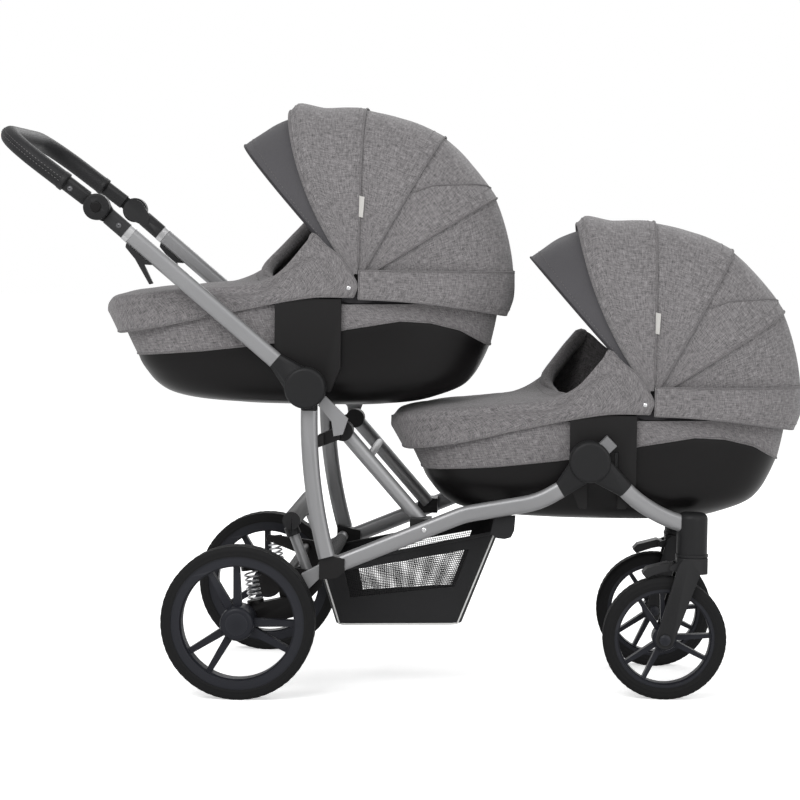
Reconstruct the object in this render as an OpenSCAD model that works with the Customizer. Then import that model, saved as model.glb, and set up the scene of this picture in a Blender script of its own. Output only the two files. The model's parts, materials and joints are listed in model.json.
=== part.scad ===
// Tandem twin pram: a tube chassis on sprung rear wheels and swivelling front
// wheels, carrying two identical carrycots with folding hoods.
// Side view positions are measured from the rear axle (x) and the floor (z).

/* [Wheels] */
// Radius of the rear tyre
rear_tyre_r = 145; // [135:1:155]
// Width of the rear tyre
rear_tyre_w = 46; // [36:1:50]
// Distance between the rear wheels' middle planes
rear_track = 544; // [540:1:580]
// Radius of the front tyre
front_tyre_r = 117; // [108:1:122]
// Width of the front tyre
front_tyre_w = 40; // [32:1:44]
// Distance between the front wheels' middle planes
front_track = 353; // [350:1:370]
// Distance between the front and rear axles
wheelbase = 803; // [780:1:830]
// Radius of the wheel axle pins
axle_r = 6; // [5:0.5:7]

/* [Frame] */
// Rear hinge pod, forward of the rear axle
pod_x = 118; // [110:1:126]
// Rear hinge pod, above the floor
pod_z = 585; // [578:1:592]
// Radius of the hinge pods
pod_r = 39; // [35:1:42]
// Clearance from the cot's fabric band to a pod's inner face
pod_clear = 12; // [12:0.5:15]
// Front pod, forward of the rear axle
front_pod_x = 655; // [648:1:662]
// Front pod, above the floor
front_pod_z = 454; // [448:1:460]
// Height of the flat-oval frame tubes, seen from the side
tube_h = 32; // [28:1:34]
// Width of the flat-oval frame tubes, seen from the front
tube_w = 20; // [18:1:22]
// Wall of the frame tubes
tube_wall = 2; // [1.5:0.25:3]
// Diameter of the round struts
strut_d = 28; // [24:1:30]
// Step inwards from a pod's inner face to the middle of a strut
strut_in = 35; // [31:1:38]

/* [Handle] */
// Slope of the push arms above the horizontal
arm_slope = 40; // [38:0.5:42]
// Rear pod axis to handle joint axis
arm_len = 520; // [500:1:540]
// Slope of the handle above the horizontal
handle_slope = 36.5; // [32:0.1:40]
// Handle joint axis to the middle of the crossbar
handle_len = 231; // [220:1:250]
// Corner radius of the handle
handle_bend_r = 95; // [80:1:110]
// Diameter of the handle tube
handle_d = 24; // [20:1:26]
// Diameter over the padded grip
grip_d = 36; // [32:1:38]
// Radius of the handle joint discs
disc_r = 25; // [22:1:27]

/* [Carrycots] */
// Forward distance from the rear cot to the front cot
cot_step_x = 562; // [556:1:568]
// Drop from the rear cot to the front cot
cot_step_z = 212; // [208:1:216]
// Half width of the cot at its fabric band
cot_half_w = 185; // [178:1:185]
// Wall of the moulded tub
tub_wall = 4; // [3:0.5:5]
// Thickness of the padded fabric
cloth = 2; // [1.5:0.25:2.5]
// Thickness of the mattress
mattress_h = 40; // [30:1:50]
// Lengthwise turn of each moving hood panel
hood_span = 28.5; // [26:0.5:29]

/* [Hidden] */
$fn = 48;

// Clearances: between moving faces, and round a turning pin
gap = 0.5;
pin_gap = 0.05;

// Colours of the finishes
metal_grey = "#87888a";
black = "#1d1d1f";
charcoal = "#303033";
linen_grey = "#7d7879";
visor_grey = "#58575a";
rim_grey = "#3a3b45";

// Handle: the joint's place, and the rear end that sets the overall length
disc_x = pod_x - arm_len * cos(arm_slope);
disc_z = pod_z + arm_len * sin(arm_slope);
handle_rear_x = disc_x - handle_len * cos(handle_slope) - grip_d / 2;

// Lateral places of the tubes, as distances from the middle plane
pod_in = cot_half_w + pod_clear;
strut_y = pod_in - strut_in;
arm_y = pod_in + 14;
lower_y = pod_in + 23;
leg_out = 22;

// Rear cot: hood hinge axis, ends and heights in the side view
hood_x = 212;
hood_z = 785;
hood_r_back = 292;
hood_r_front = 336;
cot_foot_x = -292;
hood_front_x = hood_x + cot_step_x + hood_r_back + 3;

// The origin is under the middle of the whole length
origin_x = (handle_rear_x + hood_front_x) / 2;

// Side view to space, and the pair of like pieces on both sides
module place() { translate([-origin_x, 0, 0]) children(); }
module both_sides() {
    children();
    mirror([0, 1, 0]) children();
}
module on_side(left) { mirror([0, left ? 1 : 0, 0]) children(); }

// A flat piece drawn in the side view, between two lateral planes
module side_plate(y0, y1) {
    translate([0, y1, 0]) rotate([90, 0, 0]) linear_extrude(y1 - y0) children();
}
module y_rod(at, r, y0, y1) {
    translate([at[0], y1, at[1]]) rotate([90, 0, 0]) cylinder(r = r, h = y1 - y0);
}

// Two-dimensional sections: first size across, second size in the bend plane
module oval(w, h) {
    square([w, h - w], center = true);
    for (s = [-1, 1]) translate([0, s * (h - w) / 2]) circle(d = w);
}
module oval_tube() {
    difference() {
        oval(tube_w, tube_h);
        oval(tube_w - 2 * tube_wall, tube_h - 2 * tube_wall);
    }
}
module oval_bore() { oval(tube_w - 2 * tube_wall, tube_h - 2 * tube_wall); }
// Plug with play for the bent tubes
module easy_plug() {
    oval(tube_w - 2 * tube_wall - 2 * plug_play, tube_h - 2 * tube_wall - 2 * plug_play);
}
module round_tube(d) {
    difference() {
        circle(d = d);
        circle(d = d - 2 * tube_wall);
    }
}

// A section carried along straight runs and arcs through points of the side view
function heading(a, b) = atan2(b[1] - a[1], b[0] - a[0]);
function turn(a, b, c) =
    let (t = heading(b, c) - heading(a, b))
    t > 180 ? t - 360 : t < -180 ? t + 360 : t;
function cut_back(pts, i, r) =
    i == 0 || i == len(pts) - 1 ? 0
    : r * tan(abs(turn(pts[i - 1], pts[i], pts[i + 1])) / 2);
module straight_run(p, q, from, to) {
    a = heading(p, q);
    translate(p) rotate([0, 0, a]) translate([from, 0, 0]) rotate([0, 90, 0])
        linear_extrude(norm(q - p) - from - to) children();
}
module bend(p, q, s, r) {
    t = turn(p, q, s);
    a = heading(p, q);
    back = r * tan(abs(t) / 2);
    side = t > 0 ? 1 : -1;
    translate(q) rotate([0, 0, a]) translate([-back, side * r, 0])
        rotate([0, 0, t > 0 ? -90 : 90 - abs(t)])
            rotate_extrude(angle = abs(t)) translate([r, 0]) rotate(90) children();
}
module run(pts, r) {
    for (i = [0 : len(pts) - 2])
        straight_run(pts[i], pts[i + 1], cut_back(pts, i, r), cut_back(pts, i + 1, r))
            children();
    if (len(pts) > 2)
        for (i = [1 : len(pts) - 2])
            bend(pts[i - 1], pts[i], pts[i + 1], r) children();
}
module side_run(y, pts, r) {
    translate([0, y, 0]) rotate([90, 0, 0]) run(pts, r) children();
}
// One bend from p to q that turns left by t degrees in all
module side_arc(y, p, q, t) {
    r = norm(q - p) / 2 / sin(abs(t) / 2);
    a = heading(p, q) - t / 2;
    side = t > 0 ? 1 : -1;
    translate([0, y, 0]) rotate([90, 0, 0]) translate(p) rotate([0, 0, a])
        translate([0, side * r, 0]) rotate([0, 0, t > 0 ? -90 : 90 - abs(t)])
            rotate_extrude(angle = abs(t), $fn = 360) translate([r, 0]) rotate(90) children();
}
function along(p, q, d) = p + (q - p) / norm(q - p) * d;

// Frame lines in the side view
leg_top = [pod_x + 6, pod_z - pod_r - 6];
leg_foot = [162, 264];
leg_bend = 15.7;
junction = [172, 247];
lower_pts = [[186, 252], [345, 318], [420, 350], [560, 376], [600, 400]];
lower_bend_r = 150;
stub_rear = [front_pod_x + 67, front_pod_z - 52];
stub_front = [wheelbase + 33, 337];
stub_bend = 27;
strut_top = [186, 500];
strut_foot = [338, 328];
front_cross = [497, 320];
rear_cross = [160, 250];
plug_len = 30;
short_plug = 18;
plug_play = 0.45;
face_gap = 0.35;
hinge_pin_r = 8;
half_pod = 24;
block_half = 16;

// Rounded disc standing on the XY plane
module rounded_disc(r, h, e) {
    rotate_extrude() {
        square([r - e, h]);
        square([r, h - e]);
        translate([r - e, h - e]) intersection() {
            circle(r = e);
            square(e);
        }
    }
}
// The same disc across the frame, its flat side at y0 and its rounded face outwards
module side_disc(at, r, y0, h, e) {
    translate([at[0], y0, at[1]]) rotate([90, 0, 0]) rounded_disc(r, h, e);
}

// The rear legs lean out towards the floor
module leg_lean() {
    translate([0, -arm_y, leg_top[1]])
        rotate([-atan(leg_out / (leg_top[1] - leg_foot[1])), 0, 0])
            translate([0, 0, -leg_top[1]]) children();
}
module rear_legs() {
    color(metal_grey) place() both_sides() leg_lean()
        side_arc(0, leg_top, leg_foot, leg_bend) oval_tube();
}

// Points along a path with its corners rounded, each with its heading
function corner_arc(a, b, c, r) =
    let (t = turn(a, b, c), back = r * tan(abs(t) / 2), n = max(2, ceil(abs(t) / 6)),
         h = heading(a, b), start = along(b, a, back), side = t > 0 ? 1 : -1,
         hub = start + side * r * [-sin(h), cos(h)])
    [for (j = [0 : n]) let (g = h + t * j / n) [hub - side * r * [-sin(g), cos(g)], g]];
function rounded_path(pts, r) = concat(
    [[pts[0], heading(pts[0], pts[1])]],
    [for (i = [1 : len(pts) - 2]) each corner_arc(pts[i - 1], pts[i], pts[i + 1], r)],
    [[pts[len(pts) - 1], heading(pts[len(pts) - 2], pts[len(pts) - 1])]]);
// Flat-oval tube along such a path in the side view
module swept_tube(path) {
    function ring(s, w, h) = [for (k = [0 : 19])
        let (a = -360 * (k + 0.5) / 20, v = h / 2 - w / 2,
             across = w / 2 * cos(a), up = w / 2 * sin(a) + sign(sin(a)) * v)
        [s[0][0] - up * sin(s[1]), across, s[0][1] + up * cos(s[1])]];
    inner = [for (i = [len(path) - 1 : -1 : 0])
        ring(path[i], tube_w - 2 * tube_wall, tube_h - 2 * tube_wall)];
    loft(concat([for (s = path) ring(s, tube_w, tube_h)], inner), true);
}
module cross_tube(at, end) {
    rotate([90, 0, 0]) translate([at[0], at[1], -end]) linear_extrude(2 * end) round_tube(22);
}
module lower_tubes() {
    color(metal_grey) place() {
        both_sides() translate([0, -lower_y, 0]) swept_tube(rounded_path(lower_pts, lower_bend_r));
        for (at = [front_cross, rear_cross]) cross_tube(at, lower_y - block_half);
    }
}

module strut_frame() {
    color(metal_grey) place() {
        both_sides() side_run(-strut_y, [strut_top, strut_foot], 0) round_tube(strut_d);
        y_rod(along(strut_top, strut_foot, 70) + [4, 4], 7.5,
              -strut_y + strut_d / 2 - 2.5, strut_y - strut_d / 2 + 2.5);
    }
}

// Fixed half of the rear hinge: disc, leg neck and plug, hinge pin and cot receiver
module leg_pods() {
    color(charcoal) place() both_sides() {
        side_disc([pod_x, pod_z], pod_r - 3, -pod_in, half_pod, 2);
        y_rod([pod_x, pod_z], hinge_pin_r, -pod_in - 2 * half_pod + 4, -pod_in);
        leg_lean() {
            side_run(0, [leg_top + [0, 24], leg_top + [0, face_gap]], 0) oval(tube_w, tube_h);
            side_run(0, [leg_top + [0, 2], leg_top - [0, short_plug - 4]], 0) easy_plug();
        }
        receiver(pod_x, pod_z - 8);
    }
}

// Channel on a pod's inner face that takes the cot's tongue from above
tongue_w = 44;
tongue_t = 9;
lip = 6;
module receiver(x, z) {
    side_plate(-pod_in, -pod_in + tongue_t) difference() {
        translate([x - tongue_w / 2 - lip, z - lip]) square([tongue_w + 2 * lip, 30]);
        translate([x - tongue_w / 2 - gap, z]) square([tongue_w + 2 * gap, 40]);
    }
}

// Black clamps at the struts' upper ends, tied to the legs, and their lower feet
module strut_clamps() {
    color(black) place() both_sides() {
        difference() {
            union() {
                y_rod(strut_top, 19, -strut_y - 20, -strut_y + 16);
                side_plate(-strut_y - 42, -strut_y - 14) polygon([
                    [leg_top[0] + tube_h / 2 + 1, 470], [strut_top[0] - 4, 486],
                    [strut_top[0] - 4, 512], [leg_top[0] + tube_h / 2 + 1, 494]]);
                side_plate(-strut_y - 52, -strut_y - 30) polygon([
                    [leg_top[0] + 6, 467], [leg_top[0] + 28, 475],
                    [leg_top[0] + 28, 496], [leg_top[0] + 6, 490]]);
            }
            leg_lean() side_arc(0, leg_top, leg_foot, leg_bend) oval(tube_w, tube_h);
            side_run(-strut_y, [strut_top + [-6, 6], along(strut_top, strut_foot, 40)], 0)
                circle(d = strut_d);
        }
        difference() {
            side_plate(-lower_y + tube_w / 2, -strut_y + 8)
                translate([strut_foot[0] - 21, strut_foot[1] - 20]) square([40, 30]);
            side_run(-strut_y, [along(strut_foot, strut_top, 40), strut_foot], 0)
                circle(d = strut_d);
        }
    }
}

// Steel levers from the pods to the clamps, plates from the junctions to the axle,
// and hangers for the front cross tube
module steel_brackets() {
    color(metal_grey) place() both_sides() {
        side_plate(-strut_y - 48, -strut_y - 42) difference() {
            polygon([[pod_x + 22, pod_z - 34], [pod_x + 36, pod_z - 16],
                     strut_top + [12, 26], strut_top + [2, -4], strut_top + [-16, -8], strut_top + [-20, 20]]);
            translate([pod_x, pod_z]) circle(r = pod_r - 3);
        }
        side_plate(-swing_y - 3, -swing_y + 15) polygon([
            junction + [-59, -16], [148, junction[1] + 2], [148, junction[1] - 24], junction + [-44, -44]]);
        side_plate(-lower_y + tube_w / 2, -lower_y + block_half)
            translate(front_cross - [11, 12]) square([22, 62]);
    }
}

// Rear axle: junction blocks, suspension housings with the upper spring seats, beam
swing_at = [92, 168];
spring_low = [26, 180];
spring_high = [16, 234];
spring_d = 28;
swing_y = rear_track / 2 - rear_tyre_w / 2 - 28;
module rear_axle() {
    color(black) place() {
        both_sides() {
            difference() {
                side_plate(-max(lower_y + block_half, swing_y - 13), -min(lower_y - block_half, swing_y - 17)) polygon([
                    [148, 272], [172, 268], [196, 262], [196, 238], [182, 226], [148, 222]]);
                leg_lean() side_arc(0, leg_top, leg_foot, leg_bend) oval(tube_w, tube_h);
                side_run(-lower_y, [lower_pts[0], lower_pts[1]], 0) oval(tube_w, tube_h);
            }
            difference() {
                union() {
                    side_plate(-swing_y + 15, -swing_y + 22) polygon([
                        [150, 232], [60, 246], [4, 250], [4, 238], [66, 214],
                        [76, 156], [100, 150], [152, 206]]);
                    translate([spring_high[0], -swing_y, spring_high[1] + 3])
                        rotate([0, -10.5, 0]) cylinder(r = spring_d / 2 + 3, h = 8);
                    side_plate(-swing_y, -swing_y + 18)
                        translate([2, spring_high[1] + 4]) square([34, 8]);
                }
                y_rod(swing_at, hinge_pin_r + pin_gap, -swing_y - 30, -swing_y + 40);
                y_rod(brake_at, brake_pin_r + pin_gap, -swing_y - 30, -swing_y + 40);
            }
        }
        y_rod([84, 226], 9, -swing_y + 22, swing_y - 22);
    }
}

// Coil springs: wire tubes swept along a helix between the two seats
spring_wire = 3.6;
spring_turns = 6;
module coil_springs() {
    color("#c9cacc") place() both_sides()
        translate([spring_low[0], -swing_y, spring_low[1]])
            rotate([0, atan2(spring_high[0] - spring_low[0], spring_high[1] - spring_low[1]), 0])
                coil(norm(spring_high - spring_low), spring_d / 2 - spring_wire / 2);
}
module coil(h, r) {
    steps = 14 * spring_turns;
    sides = 6;
    rings = [for (i = [0 : steps])
        let (a = 360 * spring_turns * i / steps,
             z = spring_wire / 2 + gap + (h - spring_wire - 2 * gap) * i / steps)
        [for (k = [0 : sides - 1])
            let (b = 360 * k / sides, q = r + spring_wire / 2 * cos(b))
            [q * cos(a), q * sin(a), z + spring_wire / 2 * sin(b)]]];
    loft(rings, false);
}

// A closed solid through rings of points, ends capped or joined round
module loft(rings, round) {
    m = len(rings[0]);
    n = len(rings);
    last = round ? n - 1 : n - 2;
    faces = [for (i = [0 : last]) for (k = [0 : m - 1])
        let (a = i * m + k, b = i * m + (k + 1) % m,
             c = (i + 1) % n * m + (k + 1) % m, d = (i + 1) % n * m + k)
        each [[a, b, c], [a, c, d]]];
    caps = round ? [] : [[for (k = [m - 1 : -1 : 0]) k], [for (k = [0 : m - 1]) (n - 1) * m + k]];
    polyhedron([for (r = rings) each r], concat(faces, caps), convexity = 6);
}
// A thick cloth sheet between an outer and an inner grid of points
module sheet(outer, inner) {
    n = len(outer);
    m = len(outer[0]);
    // Corners of the quad that starts at row i and column k, on layer 0 or 1
    function id(l, i, k) = (l * n + i) * m + k;
    function split(q) = [[q[0], q[1], q[2]], [q[0], q[2], q[3]]];
    skins = [for (i = [0 : n - 2]) for (k = [0 : m - 2]) each concat(
        split([id(0, i, k), id(0, i, k + 1), id(0, i + 1, k + 1), id(0, i + 1, k)]),
        split([id(1, i + 1, k), id(1, i + 1, k + 1), id(1, i, k + 1), id(1, i, k)]))];
    ends = [for (k = [0 : m - 2]) each concat(
        split([id(0, 0, k + 1), id(0, 0, k), id(1, 0, k), id(1, 0, k + 1)]),
        split([id(0, n - 1, k), id(0, n - 1, k + 1), id(1, n - 1, k + 1), id(1, n - 1, k)]))];
    sides = [for (i = [0 : n - 2]) each concat(
        split([id(0, i, 0), id(0, i + 1, 0), id(1, i + 1, 0), id(1, i, 0)]),
        split([id(0, i + 1, m - 1), id(0, i, m - 1), id(1, i, m - 1), id(1, i + 1, m - 1)]))];
    polyhedron([for (g = [outer, inner]) for (r = g) each r],
               concat(skins, ends, sides), convexity = 6);
}

// Basket: a cloth tray hung between the two cross tubes
basket_y = 152;
basket_x = [rear_cross[0] - 22, front_cross[0] - 11.2];
function basket_outline(x0, x1, z0, z1, y, r, t) = [
    for (c = [[1, 1], [-1, 1], [-1, -1], [1, -1]]) for (j = [0, 1, 2])
        let (a = (c[1] > 0 ? (c[0] > 0 ? 0 : 90) : (c[0] < 0 ? 180 : 270)) + 45 * j,
             x = (c[0] > 0 ? x1 - t - r : x0 + t + r) + r * cos(a),
             q = c[1] * (y - t - r) + r * sin(a))
        [x, q, z0 + (z1 - z0) * (x - x0) / (x1 - x0)]];
module basket() {
    wall = 2.5;
    low = 122;
    color(black) place() loft([
        basket_outline(172, 416, low, low + 6, 136, 26, 0),
        basket_outline(basket_x[0], basket_x[1], 234, 310, basket_y, 26, 0),
        basket_outline(basket_x[0], basket_x[1], 234, 310, basket_y, 26, wall),
        basket_outline(172, 416, low + wall, low + 6 + wall, 136, 26, wall)], false);
}

// Foot brake: two arms from the axle plates to a padded bar
brake_at = [124, 224];
brake_pin_r = 5;
brake_top = [88, 316];
brake_y = 176;
module brake_arms() {
    color(metal_grey) place() both_sides() {
        side_run(-brake_y, [brake_at, brake_top], 0) round_tube(20);
        y_rod(brake_at, brake_pin_r, -swing_y + 16, -brake_y);
    }
}
module brake_bar() {
    color(charcoal) place() difference() {
        union() {
            y_rod(brake_top + [2, 12], 17, -brake_y - 14, brake_y + 14);
            both_sides() side_run(-brake_y, [along(brake_top, brake_at, 18), brake_top], 0)
                circle(d = 28);
        }
        both_sides() side_run(-brake_y, [brake_at, brake_top], 0) circle(d = 20);
    }
}

// Push arms and their hinge caps
arm_dir = [-cos(arm_slope), sin(arm_slope)];
pod_at = [pod_x, pod_z];
arm_start = 77;
arm_end = arm_len - 71;
module push_arms() {
    color(metal_grey) place() both_sides()
        side_run(-arm_y, [pod_at + arm_dir * arm_start, pod_at + arm_dir * arm_end], 0) oval_tube();
}
module arm_pods() {
    cap_y = -pod_in - half_pod - gap;
    color(charcoal) place() both_sides() {
        difference() {
            union() {
                side_disc(pod_at, pod_r, cap_y, 28, 7);
                hull() {
                    y_rod(pod_at + arm_dir * 4, pod_r - 7, cap_y - 22, cap_y);
                    side_run(-arm_y, [pod_at + arm_dir * (arm_start - 8),
                                      pod_at + arm_dir * arm_start], 0) oval(tube_w, tube_h, $fn = 32);
                }
            }
            y_rod(pod_at, pod_r - 3 + gap, cap_y, 0);
            y_rod(pod_at, hinge_pin_r + pin_gap, -pod_in - 2 * half_pod + 3, 0);
        }
        side_run(-arm_y, [pod_at + arm_dir * (arm_start - 2),
                          pod_at + arm_dir * (arm_start + plug_len)], 0) oval_bore();
    }
}

// Handle joint: inner knuckles on the arms, outer discs on the handle
disc_at = [disc_x, disc_z];
knuckle_y = arm_y - 0.25;
disc_out = arm_y + 24;
tilt_pin_r = 5;
button_r = 10;
handle_dir = [-cos(handle_slope), sin(handle_slope)];
grip_start = 80;
module handle_sockets() {
    color(charcoal) place() both_sides() {
        side_run(-arm_y, [pod_at + arm_dir * arm_end, disc_at - arm_dir * (disc_r + 2)], 0)
            oval(tube_w, tube_h);
        side_run(-arm_y, [pod_at + arm_dir * (arm_end - plug_len), pod_at + arm_dir * (arm_end + 2)], 0)
            oval_bore();
        side_plate(-knuckle_y, -arm_y + tube_w / 2)
            link(disc_at, disc_r - 3, disc_at - arm_dir * (disc_r + 4), tube_h / 2 - 3);
        y_rod(disc_at, tilt_pin_r, -knuckle_y - 12, -knuckle_y);
    }
}
module handle_discs() {
    color(charcoal) place() both_sides() {
        difference() {
            union() {
                side_disc(disc_at, disc_r, -arm_y - 0.25, disc_out - arm_y, 4);
                side_plate(-arm_y - tube_w / 2 + 1, -arm_y - 0.25)
                    link(disc_at, 14, disc_at + handle_dir * (disc_r + 12), 12);
                side_run(-arm_y, [disc_at + handle_dir * (disc_r + 2),
                                  disc_at + handle_dir * grip_start], 0) oval(tube_w, 30);
            }
            y_rod(disc_at, tilt_pin_r + pin_gap, -arm_y - 14, 0);
            y_rod(disc_at, button_r + pin_gap, -disc_out - 10, -disc_out + 8);
        }
        side_run(-arm_y, [disc_at + handle_dir * (grip_start - 2),
                          disc_at + handle_dir * (grip_start + plug_len)], 0)
            circle(d = handle_d - 2 * tube_wall);
    }
}
module handle_line() {
    translate([disc_x, 0, disc_z]) rotate([0, 180 + handle_slope, 0])
        run([[grip_start, -arm_y], [handle_len, -arm_y], [handle_len, arm_y],
             [grip_start, arm_y]], handle_bend_r) children();
}
module handle_tube() { color(metal_grey) place() handle_line() round_tube(handle_d); }
module handle_grip() {
    color(charcoal) place() handle_line() difference() {
        circle(d = grip_d);
        circle(d = handle_d);
    }
}
module tilt_button(left) {
    color(black) place() on_side(left)
        side_disc(disc_at, button_r, -disc_out + 8 - 4, 8, 2);
}

// Fold trigger: a hooked lever under the arm
module trigger(left) {
    low = tube_h / 2 + 0.3;
    color(charcoal) place() on_side(left) side_plate(-arm_y - 6, -arm_y + 6)
        translate(pod_at) rotate(180 - arm_slope) polygon([
            [arm_end - 14, low], [arm_end - 18, low + 7], [arm_end - 46, low + 12],
            [arm_end - 98, low + 31], [arm_end - 102, low + 25],
            [arm_end - 66, low + 9], [arm_end - 78, low]]);
}

// Outline round two circles
module link(p, r1, q, r2) {
    a = heading(p, q);
    b = acos((r1 - r2) / norm(q - p));
    translate(p) circle(r = r1);
    translate(q) circle(r = r2);
    polygon([p + r1 * [cos(a + b), sin(a + b)], p + r1 * [cos(a - b), sin(a - b)],
             q + r2 * [cos(a - b), sin(a - b)], q + r2 * [cos(a + b), sin(a + b)]]);
}

// Swing arms: pivot, lower spring seat and axle pin
rear_axle_at = [0, rear_tyre_r];
swing_w = 24;
module swing_arm(left) {
    out = -swing_y - swing_w / 2;
    color(black) place() on_side(left) {
        side_plate(out, out + swing_w) {
            link(swing_at, 20, rear_axle_at, 22);
            link(rear_axle_at + [8, 6], 14, spring_low + [2, -10], 9);
        }
        translate([spring_low[0], -swing_y, spring_low[1]])
            rotate([0, atan2(spring_high[0] - spring_low[0], spring_high[1] - spring_low[1]), 0])
                translate([0, 0, -8]) cylinder(r = spring_d / 2 + 2, h = 8);
        y_rod(swing_at, hinge_pin_r, -swing_y, -swing_y + 22);
        y_rod(rear_axle_at, axle_r, -rear_track / 2 - rear_hub_w / 2 + hub_cap + gap, out);
        y_rod(rear_axle_at, axle_r + 4, -rear_track / 2 + rear_hub_w / 2 + gap, out);
    }
}

// Wheels, drawn lying with their axle along Z and the outer face up
rear_hub_w = 66;
hub_cap = 8;
front_hub_w = 46;
module tyre(r, w, seat_r) {
    tread = 14;
    rotate_extrude($fn = 96) difference() {
        union() {
            translate([r - tread, 0]) intersection() {
                circle(r = w / 2 + 1);
                translate([-w, -w / 2]) square([w + tread, w]);
            }
            translate([seat_r, -w / 2 + 4]) square([r - tread - seat_r, w - 8]);
        }
        translate([0, -w]) square([seat_r, 2 * w]);
        translate([r, -w]) square([w, 2 * w]);
    }
}
// Six slim spokes in three pairs between a hub and a deep rim
module rim(seat_r, open_r, hub_r, w, hub_w, first, spread, spoke_w, cap) {
    difference() {
        union() {
            rotate_extrude($fn = 96) {
                translate([open_r + 3, -w / 2 + 3]) square([seat_r - open_r - 3, w - 6]);
                translate([open_r, -w / 2 + 9]) square([seat_r - open_r, w - 18]);
            }
            for (k = [0 : 2]) for (s = [-1, 1]) rotate(first + 120 * k + s * spread)
                translate([0, 0, -9]) linear_extrude(19) polygon([
                    [hub_r - 6, -spoke_w * 0.6], [open_r + 2, -spoke_w * 0.42],
                    [open_r + 2, spoke_w * 0.42], [hub_r - 6, spoke_w * 0.6]]);
            translate([0, 0, -hub_w / 2]) rounded_disc(hub_r, hub_w, 8);
        }
        translate([0, 0, -hub_w]) cylinder(r = axle_r + pin_gap, h = 1.5 * hub_w - cap);
    }
}
module wheel_at(x, r, track) {
    translate([x, -track / 2, r]) rotate([90, 0, 0]) children();
}
rear_seat_r = rear_tyre_r - 19;
front_seat_r = front_tyre_r - 22;
module rear_rim(left) {
    color(rim_grey) place() on_side(left) wheel_at(0, rear_tyre_r, rear_track)
        rim(rear_seat_r, rear_seat_r - 20, 32, rear_tyre_w, rear_hub_w, 226, 14, 13, hub_cap);
}
module rear_tyre(left) {
    color(black) place() on_side(left) wheel_at(0, rear_tyre_r, rear_track)
        tyre(rear_tyre_r, rear_tyre_w, rear_seat_r);
}
module front_rim(left) {
    color(rim_grey) place() on_side(left) wheel_at(wheelbase, front_tyre_r, front_track)
        rim(front_seat_r, front_seat_r - 9, 23, front_tyre_w, front_hub_w, 229, 15, 9, -1);
}
module front_tyre(left) {
    color(black) place() on_side(left) wheel_at(wheelbase, front_tyre_r, front_track)
        tyre(front_tyre_r, front_tyre_w, front_seat_r);
}

// Front pods: fixed housings joining the lower and front tubes
front_at = [front_pod_x, front_pod_z];
front_pod_t = 44;
stub_turn = 18;
stub_head = heading(stub_rear, stub_front) - stub_bend / 2;
module stub_lean() {
    translate([stub_rear[0], -lower_y, 0]) rotate([0, 0, stub_turn])
        translate([-stub_rear[0], 0, 0]) children();
}
module front_tubes() {
    color(metal_grey) place() both_sides() stub_lean() side_arc(0, stub_rear, stub_front, stub_bend) oval_tube();
}
stub_dir = [cos(stub_head), sin(stub_head)];
button_slope = 45;
module front_pods() {
    end = lower_pts[len(lower_pts) - 1];
    before = lower_pts[len(lower_pts) - 2];
    color(charcoal) place() both_sides() {
        difference() {
            union() {
                side_disc(front_at, pod_r, -pod_in, front_pod_t, 7);
                hull() {
                    y_rod(front_at, pod_r - 9, -pod_in - front_pod_t + 5, -pod_in - 4);
                    side_run(-lower_y, [along(end, before, -face_gap), along(end, before, -3)], 0)
                        oval(tube_w, tube_h, $fn = 32);
                }
                hull() {
                    y_rod(front_at, pod_r - 9, -pod_in - front_pod_t + 5, -pod_in - 4);
                    stub_lean() side_run(0, [stub_rear - 3 * stub_dir, stub_rear - face_gap * stub_dir], 0)
                        oval(tube_w, tube_h, $fn = 32);
                }
            }
            button_frame() translate([20, -13.5, -pod_in - 36.5]) cube([60, 27, 29]);
        }
        side_run(-lower_y, [along(end, before, short_plug), along(end, before, -2)], 0) easy_plug();
        stub_lean() side_run(0, [stub_rear - 2 * stub_dir, stub_rear + 12 * stub_dir], 0) easy_plug();
        receiver(pod_x + cot_step_x, front_pod_z - 8);
    }
}
// Radial frame of the release button: X outwards from the pod, Z across the pram
module button_frame() {
    translate([front_pod_x, 0, front_pod_z]) rotate([90, 0, 0]) mirror([0, 0, 1])
        rotate(button_slope) children();
}
module release_button(left) {
    color(metal_grey) place() on_side(left) button_frame() translate([27, -13, -pod_in - 36])
        cube([30, 26, 28]);
}

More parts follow.
